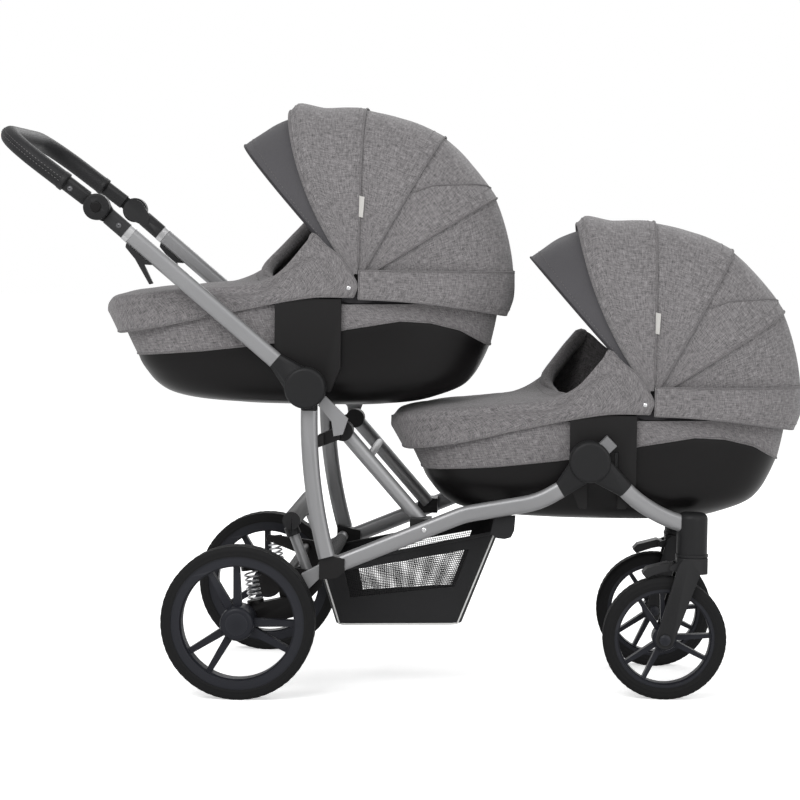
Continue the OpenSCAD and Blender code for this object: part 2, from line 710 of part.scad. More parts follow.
// Swivel heads, forks and the swivel locks
swivel_x = wheelbase + 49;
head_low = 2 * front_tyre_r + 39;
head_h = 84;
head_r = 29;
swivel_pin_r = 8;
module caster_heads() {
    color(charcoal) place() both_sides() translate([swivel_x, -front_track / 2, head_low]) difference() {
        union() {
            rounded_disc(head_r, head_h, 12);
            cylinder(r = head_r + 2, h = 5);
        }
        translate([0, 0, -1]) cylinder(r = swivel_pin_r + pin_gap, h = 60);
        translate([-swivel_x, front_track / 2, -head_low]) stub_lean()
            side_arc(0, stub_rear, stub_front, stub_bend) oval(tube_w, tube_h);
    }
}
fork_gap = front_hub_w / 2 + gap;
fork_t = 10;
crown_h = 30;
front_axle_at = [wheelbase, front_tyre_r];
module fork(left) {
    mid = -front_track / 2;
    crown_z = head_low - gap - crown_h;
    color(charcoal) place() on_side(left) {
        for (s = [-1, 1]) side_plate(mid + s * (fork_gap + fork_t / 2) - fork_t / 2,
                                     mid + s * (fork_gap + fork_t / 2) + fork_t / 2)
            link([swivel_x - 6, crown_z + 8], 22, front_axle_at, 17);
        translate([swivel_x, mid, crown_z]) {
            intersection() {
                translate([-head_r, -fork_gap - fork_t, 0]) cube([2 * head_r, 2 * (fork_gap + fork_t), crown_h]);
                cylinder(r = fork_gap + fork_t + 4, h = crown_h);
            }
            cylinder(r = swivel_pin_r, h = crown_h + 54);
        }
        y_rod(front_axle_at, axle_r, mid - fork_gap - fork_t - 3, mid + fork_gap + fork_t + 3);
        for (s = [-1, 1]) side_plate(mid + s * 23.5 - 3, mid + s * 23.5 + 3)
            link(lock_at, 6, [swivel_x - 18, lock_at[1] + 4], 9);
        y_rod(lock_at, lock_pin_r, mid - 24, mid + 24);
    }
}
lock_at = [swivel_x - head_r - 8, head_low - 20];
lock_pin_r = 3;
module lock_lever(left) {
    mid = -front_track / 2;
    color(charcoal) place() on_side(left) difference() {
        side_plate(mid - 20, mid + 20) {
            translate(lock_at) circle(r = 7);
            polygon([lock_at + [0, 5.5], lock_at + [-8, 9], lock_at + [-48, -2], lock_at + [-57, -12],
                     lock_at + [-50, -20], lock_at + [-18, -9], lock_at + [0, -5.5]]);
        }
        y_rod(lock_at, lock_pin_r + pin_gap, mid - 30, mid + 30);
    }
}

// Carrycot, drawn in the rear cot's place and stepped forward and down for the front one
module cot(front) {
    place() translate(front ? [cot_step_x, 0, -cot_step_z] : [0, 0, 0]) children();
}
seat_rear = pod_z - 8;
seat_front = front_pod_z - 8 + cot_step_z;

// Plan of the cot: a squarish oval between two ends
plan_n = 3;
plan_cols = 40;
function squash(c, n) = sign(c) * pow(abs(c), 2 / n);
function plan_ring(x0, x1, w) = [for (k = [0 : plan_cols - 1])
    let (a = 360 * (k + 0.5) / plan_cols)
    [(x0 + x1) / 2 + (x1 - x0) / 2 * squash(cos(a), plan_n), w * squash(sin(a), plan_n)]];
function lift_ring(ring, z) = [for (p = ring) [p[0], p[1], z]];

// Heights along the cot: tub border, upper rim, apron hem and apron top
function border(x) = lookup(x, [[-231, 636], [-88, 649], [50, 666], [180, 693],
                                [292, 712], [349, 709], [406, 695], [461, 663]]);
function rim_z(x) = lookup(x, [[-275, 712], [-150, 730], [100, 740], [480, 746]]);
function hem(x) = lookup(x, [[-270, 679], [-183, 693], [8, 732], [112, 755], [220, 756]]);
function top_z(x) = lookup(x, [[-292, 730], [-280, 744], [-254, 753], [-194, 762], [5, 780], [160, 790]]);

// Tub outline: rear end, front end, half width and height of each level below the border
tub_levels = [[-213, 431, 177, 604], [-193, 407, 168, 581], [-163, 363, 154, 563],
              [-113, 322, 134, 552], [-33, 262, 92, 545]];
function border_ring(inset) = [for (p = plan_ring(-231 + inset, 461 - inset, cot_half_w - 3 - inset))
    [p[0], p[1], border(p[0])]];
function level_ring(l, inset) =
    lift_ring(plan_ring(l[0] + inset, l[1] - inset, l[2] - inset), l[3] + inset);
module tub(front) {
    n = len(tub_levels);
    color(black) cot(front) loft(concat(
        [for (i = [n - 1 : -1 : 0]) level_ring(tub_levels[i], 0)],
        [border_ring(0), border_ring(tub_wall)],
        [for (i = [0 : n - 1]) level_ring(tub_levels[i], tub_wall)]), false);
}
band_t = 6;
module band(front) {
    function low(inset) = [for (p = plan_ring(-232 + inset, 462 - inset, cot_half_w - 2 - inset))
        [p[0], p[1], border(p[0]) + 0.4]];
    function high(inset) = [for (p = plan_ring(-268 + inset, 478 - inset, cot_half_w - inset))
        [p[0], p[1], rim_z(p[0])]];
    color(linen_grey) cot(front) loft([low(0), high(0), high(band_t), low(band_t)], true);
}
module mattress(front) {
    level = tub_levels[2];
    inset = tub_wall + 6;
    color("#d8d6d2") cot(front) translate([0, 0, level[3] + tub_wall - 1])
        linear_extrude(mattress_h)
            polygon(plan_ring(level[0] + inset, level[1] - inset, level[2] - inset));
}

// Apron: a cover with a skirt over the band, rising into wings outside the hood.
// Columns run from one hem over the top to the other: [side, share of the wall] on
// the walls, and [share of the half width, drop] over the top
apron_rows = 11;
apron_x = [cot_foot_x, 480];
wing_h = 100;
wing_y = cot_half_w + 15.2;
wall_shares = [0, 0.13, 0.24, 0.46, 0.62, 0.81, 1];
function wall_end(q) = lookup(q, [[0, 204], [0.13, 210], [0.24, 209], [0.46, 192.5],
                                  [0.62, 179.5], [0.81, 151], [1, 127]]);
apron_top = [[-0.95, -4], [-0.75, 0], [-0.4, 3], [0, 4], [0.4, 3], [0.75, 0], [0.95, -4]];
function ease(f) = let (u = max(0, min(1, f))) u * u * (3 - 2 * u);
function apron_half(x, w) =
    let (c = (apron_x[0] + apron_x[1]) / 2, a = (apron_x[1] - apron_x[0]) / 2)
    w * pow(max(0, 1 - pow(abs(x - c) / a, plan_n)), 1 / plan_n);
function apron_w(x, inset) =
    let (f = ease((x - 20) / 70))
    apron_half(x, cot_half_w + 3.2 - inset) * (1 - f) + (wing_y - inset) * f;
function wing_rise(x) = wing_h * pow(max(0, min(1, (x - 30) / 95)), 1.15);
function apron_s(i) = 1 - cos(90 * (i + 0.35) / (apron_rows + 0.35));
function apron_wall(i, side, q, inset) =
    let (s = apron_s(i), x0 = apron_x[0] + (wall_end(q) - apron_x[0]) * s, x = x0 + inset * (1 - s),
         top = top_z(x) - 14 + wing_rise(x) - inset)
    [94 + (x - 94) * (1 - 0.055 * (1 - s) * (1 - q)), side * apron_w(x0, inset),
     hem(x) + (top - hem(x)) * q];
function apron_over(i, c, inset) =
    let (s = apron_s(i), v = c[0], x0 = apron_x[0] + (30 + 96 * pow(abs(v), 3) - apron_x[0]) * s,
         x = x0 + inset * (1 - s))
    [x, v * apron_w(x0, inset), top_z(x) + c[1] + wing_rise(x) * pow(abs(v), 6) - inset];
module apron(front) {
    n = len(wall_shares);
    function grid(inset) = [for (i = [0 : apron_rows]) concat(
        [for (q = wall_shares) apron_wall(i, -1, q, inset)],
        [for (c = apron_top) apron_over(i, c, inset)],
        [for (j = [n - 1 : -1 : 0]) apron_wall(i, 1, wall_shares[j], inset)])];
    color(linen_grey) cot(front) sheet(grid(0), grid(cloth));
}

// Side adapters: panels with the tongues that drop into the pods, and the hood hubs
module adapters(front) {
    seat = front ? seat_front : seat_rear;
    face = pod_in - gap;
    color(black) cot(front) both_sides() {
        side_plate(-face, -cot_half_w - 0.3) {
            difference() {
                polygon([[pod_x - 63, hem(pod_x - 63) - 2], [pod_x - 6, 752],
                         [pod_x + 63, 752], [pod_x + 63, 621],
                         [pod_x + 44, 575], [pod_x - 44, 575], [pod_x - 63, 621]]);
                translate([pod_x - tongue_w / 2 - lip - gap, seat - 100])
                    square([tongue_w + 2 * lip + 2 * gap, 124 + gap]);
            }
            translate([pod_x - tongue_w / 2, seat]) square([tongue_w, 40]);
        }
        side_plate(-cot_half_w - 4, -cot_half_w + 5) translate([pod_x + 42, 749]) square([20, 6]);
        side_plate(-cot_half_w - 0.6, -cot_half_w + 5) link([pod_x + 52, 758], 8, [hood_x, hood_z], 18);
        y_rod([hood_x, hood_z], 12, -cot_half_w + 3, -cot_half_w + 12);
    }
}

// Hood: cloth panels round a cross axis, each a little wider than the one behind it
profile_n = 2.8;
profile = [-89.3, -85, -76, -66, -54, -38, -20, 0, 20, 38, 54, 66, 76, 85, 89.3];
layer = cloth + 0.4;
base_low = 4;
hood_start = base_low + hood_span;
hood_radii = [[0, hood_r_back], [33, 304], [62, 318], [90, 328], [104, hood_r_front],
              [108, 350], [111, 361], [114, 350], [140, 346]];
visor_radii = [[100, 330], [110, 334], [116, 343], [121, 345], [140, 345]];
function hood_point(t, s, out, radii = hood_radii) =
    let (r = (lookup(t, radii) + out) * squash(cos(s), profile_n))
    [hood_x + r * cos(t), (cot_half_w + 3 + out) * squash(sin(s), profile_n), hood_z + r * sin(t)];
// Panel between two angles, its edges leaning forward at the sides by the lean,
// and its rear edge lower by step layers
module hood_panel(front, from, to, from_lean, to_lean, layers, rows, shade, step = 0, radii = hood_radii) {
    function at(i, s) =
        let (side = pow(abs(s) / 90, 2), a = from + from_lean * side, b = to + to_lean * side)
        a + (b - a) * i / rows;
    function out(i) = (layers - (i == 0 ? step : 0)) * layer;
    function grid(inset) = [for (i = [0 : rows])
        [for (s = profile) hood_point(at(i, s), s, out(i) - inset, radii)]];
    color(shade) cot(front) sheet(grid(0), grid(cloth));
}
// Fixed rear panel, carried down to the band and back up outside as a skirt,
// which leaves a pocket at the sides for the folded panels
skirt_top = 806;
skirt_step = 5 * layer + 0.2;
module hood_base(front) {
    rows = 3;
    function out(s) = cloth + 0.6 + (skirt_step - cloth - 0.6) * ease((abs(s) - 35) / 25);
    // Skirt point at a share of the height and a distance out from the panel
    function skirt(s, u, f, o) =
        let (p = hood_point(base_low, s, o), x = hood_x + (p[0] - hood_x) * f,
             low = 752 - 34 * pow((x - hood_x) / hood_r_back, 2))
        [x - 11 * pow(abs(s) / 89.3, 10), p[1], low + (skirt_top - low) * u];
    function panel(i, inset) = [for (s = profile)
        hood_point(hood_start + (base_low - hood_start) * i / rows, s, -inset)];
    // Rows from the panel's top edge down to the hem and up to the skirt's edge
    near = concat([for (i = [0 : rows]) panel(i, 0)], [
        [for (s = profile) skirt(s, 0.06, 0.955, 0)],
        [for (s = profile) skirt(s, 0.06, 0.955, out(s) - cloth)],
        [for (s = profile) skirt(s, 0.4, 1, out(s) - cloth)],
        [for (s = profile) skirt(s, 0.8, 1.003, out(s) - cloth)],
        [for (s = profile) skirt(s, 1, 1, out(s) - cloth)]]);
    far = concat([for (i = [0 : rows]) panel(i, cloth)], [
        [for (s = profile) skirt(s, 0, 0.955, -cloth)],
        [for (s = profile) skirt(s, 0, 0.955, out(s))],
        [for (s = profile) skirt(s, 0.4, 1, out(s))],
        [for (s = profile) skirt(s, 0.8, 1.003, out(s))],
        [for (s = profile) skirt(s, 1, 1, out(s))]]);
    color(linen_grey) cot(front) sheet(far, near);
}
module hood_back(front) {
    hood_panel(front, hood_start, hood_start + hood_span, 0, 0, 1, 5, linen_grey);
}
module hood_mid(front) {
    hood_panel(front, hood_start + hood_span, hood_start + 2 * hood_span, 0, 0, 2, 5, linen_grey);
}
brim = 114;
module hood_front(front) {
    hood_panel(front, hood_start + 2 * hood_span, brim, 0, 18, 4, 6, linen_grey, step = 1);
}
module visor(front) {
    hood_panel(front, brim - 4, 132, 16, 7, 3, 4, visor_grey, radii = visor_radii);
}

// The whole pram
rear_legs();
lower_tubes();
strut_frame();
leg_pods();
strut_clamps();
steel_brackets();
rear_axle();
coil_springs();
front_pods();
front_tubes();
caster_heads();
basket();
brake_arms();
brake_bar();
push_arms();
arm_pods();
handle_sockets();
trigger(true);  // trigger_left
trigger(false);  // trigger_right
handle_tube();
handle_grip();
handle_discs();
tilt_button(true);  // tilt_button_left
tilt_button(false);  // tilt_button_right
swing_arm(true);  // swing_arm_left
swing_arm(false);  // swing_arm_right
rear_rim(true);  // rear_rim_left
rear_rim(false);  // rear_rim_right
rear_tyre(true);  // rear_tyre_left
rear_tyre(false);  // rear_tyre_right
fork(true);  // fork_left
fork(false);  // fork_right
lock_lever(true);  // lock_lever_left
lock_lever(false);  // lock_lever_right
front_rim(true);  // front_rim_left
front_rim(false);  // front_rim_right
front_tyre(true);  // front_tyre_left
front_tyre(false);  // front_tyre_right
release_button(true);  // release_button_left
release_button(false);  // release_button_right
tub(false);  // rear_cot_tub
band(false);  // rear_cot_band
mattress(false);  // rear_cot_mattress
apron(false);  // rear_cot_apron
adapters(false);  // rear_cot_adapters
hood_base(false);  // rear_hood_base
hood_back(false);  // rear_hood_back
hood_mid(false);  // rear_hood_mid
hood_front(false);  // rear_hood_front
visor(false);  // rear_visor
tub(true);  // front_cot_tub
band(true);  // front_cot_band
mattress(true);  // front_cot_mattress
apron(true);  // front_cot_apron
adapters(true);  // front_cot_adapters
hood_base(true);  // front_hood_base
hood_back(true);  // front_hood_back
hood_mid(true);  // front_hood_mid
hood_front(true);  // front_hood_front
visor(true);  // front_visor
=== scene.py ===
"""Twin pram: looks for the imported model, as a Blender add-on that is run as a script."""
import json
import math

import bmesh
import bpy
import numpy as np
from bpy.props import FloatProperty, FloatVectorProperty, IntProperty, PointerProperty
from mathutils import Matrix, Vector


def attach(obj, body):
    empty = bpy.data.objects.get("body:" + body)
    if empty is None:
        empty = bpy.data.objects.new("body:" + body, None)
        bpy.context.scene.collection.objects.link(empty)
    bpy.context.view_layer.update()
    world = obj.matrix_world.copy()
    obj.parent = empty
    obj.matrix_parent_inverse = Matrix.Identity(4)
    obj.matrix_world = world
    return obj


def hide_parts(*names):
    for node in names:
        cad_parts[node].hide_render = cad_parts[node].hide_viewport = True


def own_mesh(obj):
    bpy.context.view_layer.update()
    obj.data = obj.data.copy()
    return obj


bl_info = {
    "name": "Twin pram",
    "version": (1, 0, 0),
    "blender": (4, 5, 0),
    "location": "View3D > Sidebar > Twin pram",
    "description": "Dresses the packed twin pram: cloth, trim, fasteners and finishes",
    "category": "Object",
}

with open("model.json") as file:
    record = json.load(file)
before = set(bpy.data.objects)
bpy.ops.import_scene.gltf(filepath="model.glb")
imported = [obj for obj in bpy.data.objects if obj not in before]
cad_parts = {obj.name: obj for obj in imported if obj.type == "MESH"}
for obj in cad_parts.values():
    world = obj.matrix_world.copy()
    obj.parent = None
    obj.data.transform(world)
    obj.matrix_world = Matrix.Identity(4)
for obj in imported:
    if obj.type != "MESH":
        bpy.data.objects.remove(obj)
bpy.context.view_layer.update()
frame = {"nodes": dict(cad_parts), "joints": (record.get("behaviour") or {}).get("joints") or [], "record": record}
JOINTS = {j["name"]: j for j in frame["joints"]}
AXLE_X = JOINTS["rear_wheel_left_spin"]["pos_m"][0]
COTS = ("rear", "front")
SIDES = (("right", -1), ("left", 1))


def at(x, y, z):
    """A point in mm, measured from the rear axle and the floor, in the model's frame."""
    return Vector((x / 1000 + AXLE_X, y / 1000, z / 1000))


# Sizes that the solids share, in mm from the rear axle and the floor
POD = Vector((118, 585))
ARM_SLOPE = math.radians(40)
ARM_DIR = Vector((-math.cos(ARM_SLOPE), math.sin(ARM_SLOPE)))
ARM_END = 449
ARM_Y = 211
HANDLE_SLOPE = math.radians(36.5)
HANDLE_DIR = Vector((-math.cos(HANDLE_SLOPE), math.sin(HANDLE_SLOPE)))
DISC = POD + ARM_DIR * 520
GRIP_START, HANDLE_LEN, HANDLE_BEND, GRIP_R = 80, 231, 95, 18
TUBE_H, TUBE_W = 32, 20
REAR_R, FRONT_R, WHEELBASE = 145, 117, 803
REAR_TRACK, FRONT_TRACK = 544, 353
REAR_TYRE_W, FRONT_TYRE_W = 46, 40
HALF_W = 185
COT_STEP = {"rear": Vector((0, 0, 0)), "front": Vector((0.562, 0, -0.212))}
HUB = Vector((212, 785))
PLAN_N, HOOD_N = 3.0, 2.8
CLOTH = 2.0
LAYER = CLOTH + 0.4


class CotSizes(bpy.types.PropertyGroup):
    """Sizes of the carrycots' cloth."""

    panel_sag: FloatProperty(
        name="Panel sag", description="How far a hood panel dips between its bows",
        default=0.0035, unit="LENGTH")
    piping: FloatProperty(
        name="Piping", description="Radius of the sewn piping", default=0.0019, unit="LENGTH")
    wrinkle: FloatProperty(
        name="Wrinkle", description="Height of the soft waves in the cloth", default=0.0012, unit="LENGTH")
    stitch: FloatProperty(
        name="Stitch", description="Length of one stitch", default=0.0046, unit="LENGTH")


class TrimSizes(bpy.types.PropertyGroup):
    """Sizes of the small trim."""

    screw: FloatProperty(name="Screw", description="Radius of a screw head", default=0.0042, unit="LENGTH")
    edge: FloatProperty(name="Edge", description="Width of the rounded edges", default=0.0011, unit="LENGTH")
    coil_turns: IntProperty(name="Coil turns", description="Turns of each rear spring", default=6)


class Finishes(bpy.types.PropertyGroup):
    """Colours of the finishes."""

    linen: FloatVectorProperty(
        name="Linen", description="Main colour of the cloth", subtype="COLOR", size=3,
        default=(0.168, 0.160, 0.163))
    visor: FloatVectorProperty(
        name="Visor", description="Colour of the visor cloth", subtype="COLOR", size=3,
        default=(0.070, 0.068, 0.073))
    metal: FloatVectorProperty(
        name="Metal", description="Colour of the frame tubes", subtype="COLOR", size=3,
        default=(0.235, 0.235, 0.24))
    charcoal: FloatVectorProperty(
        name="Charcoal", description="Colour of the moulded joints", subtype="COLOR", size=3,
        default=(0.0125, 0.0125, 0.0132))
    black: FloatVectorProperty(
        name="Black", description="Colour of the tubs", subtype="COLOR", size=3,
        default=(0.0048, 0.0043, 0.0045))
    rim: FloatVectorProperty(
        name="Rim", description="Colour of the wheel rims", subtype="COLOR", size=3,
        default=(0.0125, 0.0132, 0.0175))


def cot_sizes():
    """Sizes of the carrycots' cloth, as set in the scene."""
    return bpy.context.scene.pram_cots


def trim_sizes():
    """Sizes of the small trim, as set in the scene."""
    return bpy.context.scene.pram_trim


def finishes():
    """Colours of the finishes, as set in the scene."""
    return bpy.context.scene.pram_finishes


# Shader groups that several materials share
def new_group(name, inputs, outputs):
    """An empty shader group with its sockets, and its input and output nodes."""
    tree = bpy.data.node_groups.new(name, "ShaderNodeTree")
    for label, kind, value in inputs:
        socket = tree.interface.new_socket(name=label, in_out="INPUT", socket_type=kind)
        socket.default_value = value
    for label, kind in outputs:
        tree.interface.new_socket(name=label, in_out="OUTPUT", socket_type=kind)
    return tree, tree.nodes.new("NodeGroupInput"), tree.nodes.new("NodeGroupOutput")


def node(tree, kind, **values):
    """A node with its settings; settings in the form i_Name set an input."""
    made = tree.nodes.new(kind)
    for key, value in values.items():
        if key.startswith("i_"):
            made.inputs[key[2:].replace("_", " ")].default_value = value
        else:
            setattr(made, key, value)
    return made


def math_node(tree, operation, a, b=None, clamp=False):
    """Output of a math node on sockets or numbers."""
    made = node(tree, "ShaderNodeMath", operation=operation, use_clamp=clamp)
    for socket, value in zip(made.inputs, (a, b)):
        if value is None:
            continue
        if isinstance(value, (int, float)):
            socket.default_value = value
        else:
            tree.links.new(value, socket)
    return made.outputs[0]


def mix_colour(tree, factor, a, b, blend="MIX"):
    """Output of a colour mix on sockets, numbers or colours."""
    made = node(tree, "ShaderNodeMix", data_type="RGBA", blend_type=blend)
    for socket, value in ((made.inputs[0], factor), (made.inputs[6], a), (made.inputs[7], b)):
        if isinstance(value, (int, float, tuple, list)):
            socket.default_value = value
        else:
            tree.links.new(value, socket)
    return made.outputs[2]


def tinted(tree, colour, shade):
    """A colour darkened or lightened by a shade."""
    grey = node(tree, "ShaderNodeCombineColor")
    for socket in grey.inputs:
        tree.links.new(shade, socket)
    return mix_colour(tree, 1.0, colour, grey.outputs[0], "MULTIPLY")


def centred(tree, value, amount):
    """A noise value moved to run about zero, times the amount."""
    return math_node(tree, "MULTIPLY", math_node(tree, "SUBTRACT", value, 0.5), amount)


SURFACE = [("Colour", "NodeSocketColor"), ("Height", "NodeSocketFloat"), ("Roughness", "NodeSocketFloat")]


def weave_group():
    """Heathered plain weave on UV: mottled colour, thread height and roughness."""
    tree, put, out = new_group(
        "weave",
        [("Coordinates", "NodeSocketVector", (0, 0, 0)), ("Colour", "NodeSocketColor", (0.2, 0.2, 0.2, 1)),
         ("Threads per m", "NodeSocketFloat", 900.0), ("Heather", "NodeSocketFloat", 0.5),
         ("Roughness", "NodeSocketFloat", 0.9)],
        SURFACE)
    scale = node(tree, "ShaderNodeVectorMath", operation="SCALE")
    tree.links.new(put.outputs["Coordinates"], scale.inputs[0])
    tree.links.new(put.outputs["Threads per m"], scale.inputs["Scale"])
    split = node(tree, "ShaderNodeSeparateXYZ")
    tree.links.new(scale.outputs[0], split.inputs[0])
    warp = math_node(tree, "SINE", math_node(tree, "MULTIPLY", split.outputs[0], math.pi))
    weft = math_node(tree, "SINE", math_node(tree, "MULTIPLY", split.outputs[1], math.pi))
    threads = math_node(tree, "MULTIPLY", warp, weft)
    streaks = []
    for stretch in ((0.16, 0.9, 0.5), (0.9, 0.16, 0.5)):
        pull = node(tree, "ShaderNodeVectorMath", operation="MULTIPLY")
        pull.inputs[1].default_value = stretch
        tree.links.new(scale.outputs[0], pull.inputs[0])
        noise = node(tree, "ShaderNodeTexNoise", i_Scale=1.0, i_Detail=3.0, i_Roughness=0.7)
        tree.links.new(pull.outputs[0], noise.inputs["Vector"])
        streaks.append(noise.outputs["Fac"])
    mottle = math_node(tree, "ADD", streaks[0], streaks[1])
    contrast = math_node(tree, "MULTIPLY", math_node(tree, "SUBTRACT", mottle, 1.0), put.outputs["Heather"])
    soft = node(tree, "ShaderNodeTexNoise", i_Scale=9.0, i_Detail=2.0)
    tree.links.new(put.outputs["Coordinates"], soft.inputs["Vector"])
    drift = centred(tree, soft.outputs["Fac"], 0.22)
    mottled = math_node(tree, "MULTIPLY", contrast, 2.2)
    ridges = math_node(tree, "MULTIPLY", threads, 0.07)
    shade = math_node(tree, "ADD", mottled, math_node(tree, "ADD", drift, 1.0))
    shade = math_node(tree, "MAXIMUM", math_node(tree, "ADD", shade, ridges), 0.3)
    tree.links.new(tinted(tree, put.outputs["Colour"], shade), out.inputs["Colour"])
    slubs = math_node(tree, "MULTIPLY", mottle, 0.6)
    height = math_node(tree, "ADD", math_node(tree, "MULTIPLY", threads, 0.5), slubs)
    tree.links.new(height, out.inputs["Height"])
    rougher = math_node(tree, "MULTIPLY", contrast, 0.3)
    rough = math_node(tree, "ADD", put.outputs["Roughness"], rougher, True)
    tree.links.new(rough, out.inputs["Roughness"])
    return tree


def grain_group():
    """Moulded or leather grain: fine height, slow colour drift and roughness."""
    tree, put, out = new_group(
        "grain",
        [("Coordinates", "NodeSocketVector", (0, 0, 0)), ("Colour", "NodeSocketColor", (0.2, 0.2, 0.2, 1)),
         ("Scale", "NodeSocketFloat", 900.0), ("Roughness", "NodeSocketFloat", 0.5),
         ("Drift", "NodeSocketFloat", 0.15)],
        SURFACE)
    cells = node(tree, "ShaderNodeTexVoronoi", feature="SMOOTH_F1")
    cells.inputs["Smoothness"].default_value = 0.6
    fine = node(tree, "ShaderNodeTexNoise", i_Detail=2.0)
    slow = node(tree, "ShaderNodeTexNoise", i_Scale=7.0, i_Detail=3.0)
    for tex in (cells, fine, slow):
        tree.links.new(put.outputs["Coordinates"], tex.inputs["Vector"])
    tree.links.new(put.outputs["Scale"], cells.inputs["Scale"])
    tree.links.new(math_node(tree, "MULTIPLY", put.outputs["Scale"], 0.5), fine.inputs["Scale"])
    drift = centred(tree, slow.outputs["Fac"], put.outputs["Drift"])
    shade = math_node(tree, "ADD", math_node(tree, "MULTIPLY", drift, 2.0), 1.0)
    tree.links.new(tinted(tree, put.outputs["Colour"], shade), out.inputs["Colour"])
    pits = math_node(tree, "MULTIPLY", fine.outputs["Fac"], 0.5)
    height = math_node(tree, "ADD", cells.outputs["Distance"], pits)
    tree.links.new(height, out.inputs["Height"])
    rough = math_node(tree, "ADD", put.outputs["Roughness"], math_node(tree, "MULTIPLY", drift, 0.6), True)
    tree.links.new(rough, out.inputs["Roughness"])
    return tree


def wear_group():
    """Paler, rubbed edges: a mask from the surface's pointiness."""
    tree, put, out = new_group(
        "edge_wear",
        [("Colour", "NodeSocketColor", (0.2, 0.2, 0.2, 1)),
         ("Worn colour", "NodeSocketColor", (0.4, 0.4, 0.4, 1)),
         ("Amount", "NodeSocketFloat", 0.4)],
        [("Colour", "NodeSocketColor")])
    geometry = node(tree, "ShaderNodeNewGeometry")
    rise = node(tree, "ShaderNodeMapRange", clamp=True)
    rise.inputs["From Min"].default_value = 0.51
    rise.inputs["From Max"].default_value = 0.6
    tree.links.new(geometry.outputs["Pointiness"], rise.inputs["Value"])
    mask = math_node(tree, "MULTIPLY", rise.outputs["Result"], put.outputs["Amount"], True)
    worn = mix_colour(tree, mask, put.outputs["Colour"], put.outputs["Worn colour"])
    tree.links.new(worn, out.inputs["Colour"])
    return tree


def brushed_group():
    """Drawn and anodised metal: fine and slow noise in tone, height and roughness."""
    tree, put, out = new_group(
        "brushed",
        [("Coordinates", "NodeSocketVector", (0, 0, 0)), ("Colour", "NodeSocketColor", (0.4, 0.4, 0.4, 1)),
         ("Roughness", "NodeSocketFloat", 0.35)],
        SURFACE)
    fine = node(tree, "ShaderNodeTexNoise", i_Scale=1400.0, i_Detail=2.0)
    slow = node(tree, "ShaderNodeTexNoise", i_Scale=14.0, i_Detail=2.0)
    tree.links.new(put.outputs["Coordinates"], fine.inputs["Vector"])
    tree.links.new(put.outputs["Coordinates"], slow.inputs["Vector"])
    tone = math_node(tree, "ADD", math_node(tree, "MULTIPLY", fine.outputs["Fac"], 0.12),
                     math_node(tree, "MULTIPLY", slow.outputs["Fac"], 0.1))
    shade = math_node(tree, "ADD", tone, 0.89)
    tree.links.new(tinted(tree, put.outputs["Colour"], shade), out.inputs["Colour"])
    tree.links.new(fine.outputs["Fac"], out.inputs["Height"])
    drift = centred(tree, slow.outputs["Fac"], 0.2)
    rough = math_node(tree, "ADD", put.outputs["Roughness"], drift, True)
    tree.links.new(rough, out.inputs["Roughness"])
    return tree


# Materials, each made once
GROUPS = {}
MATERIALS = {}


def group(name):
    """The shader group of that name, made the first time it is asked for."""
    makers = {"weave": weave_group, "grain": grain_group, "edge_wear": wear_group, "brushed": brushed_group}
    if name not in GROUPS:
        GROUPS[name] = makers[name]()
    return GROUPS[name]


def start_material(name):
    """A material with its shader, its tree and its texture coordinates."""
    made = bpy.data.materials.new(name)
    made.use_nodes = True
    tree = made.node_tree
    shader = tree.nodes["Principled BSDF"]
    return made, tree, shader, node(tree, "ShaderNodeTexCoord")


def add_bump(tree, shader, height, strength, distance):
    """Feeds a height to the shader's normal."""
    bump = node(tree, "ShaderNodeBump")
    bump.inputs["Strength"].default_value = strength
    bump.inputs["Distance"].default_value = distance
    tree.links.new(height, bump.inputs["Height"])
    tree.links.new(bump.outputs["Normal"], shader.inputs["Normal"])


def use_surface(tree, shader, source, name, colour, rough):
    """A shared group, with its coordinates, colour and roughness joined up."""
    use = node(tree, "ShaderNodeGroup", node_tree=group(name))
    tree.links.new(source, use.inputs["Coordinates"])
    use.inputs["Colour"].default_value = (*colour, 1)
    use.inputs["Roughness"].default_value = rough
    tree.links.new(use.outputs["Roughness"], shader.inputs["Roughness"])
    return use


def wear_edges(tree, shader, use, worn_colour, amount):
    """Paler, rubbed edges over the surface's colour."""
    worn = node(tree, "ShaderNodeGroup", node_tree=group("edge_wear"))
    tree.links.new(use.outputs["Colour"], worn.inputs["Colour"])
    worn.inputs["Worn colour"].default_value = (*worn_colour, 1)
    worn.inputs["Amount"].default_value = amount
    tree.links.new(worn.outputs["Colour"], shader.inputs["Base Color"])


CLOTH_BUMP, CLOTH_GLOSS, SHEEN_ROUGH = 0.0006, 0.25, 0.5
PLASTIC_GLOSS = 0.18
METAL_BUMP, METAL_WEAR = (0.08, 0.0002), 0.3


def cloth_material(name, colour, threads, heather, rough, sheen, bump):
    """Woven cloth with a soft sheen."""
    made, tree, shader, coords = start_material(name)
    use = use_surface(tree, shader, coords.outputs["UV"], "weave", colour, rough)
    use.inputs["Threads per m"].default_value = threads
    use.inputs["Heather"].default_value = heather
    tree.links.new(use.outputs["Colour"], shader.inputs["Base Color"])
    add_bump(tree, shader, use.outputs["Height"], bump, CLOTH_BUMP)
    shader.inputs["Sheen Weight"].default_value = sheen
    shader.inputs["Sheen Roughness"].default_value = SHEEN_ROUGH
    shader.inputs["Specular IOR Level"].default_value = CLOTH_GLOSS
    return made


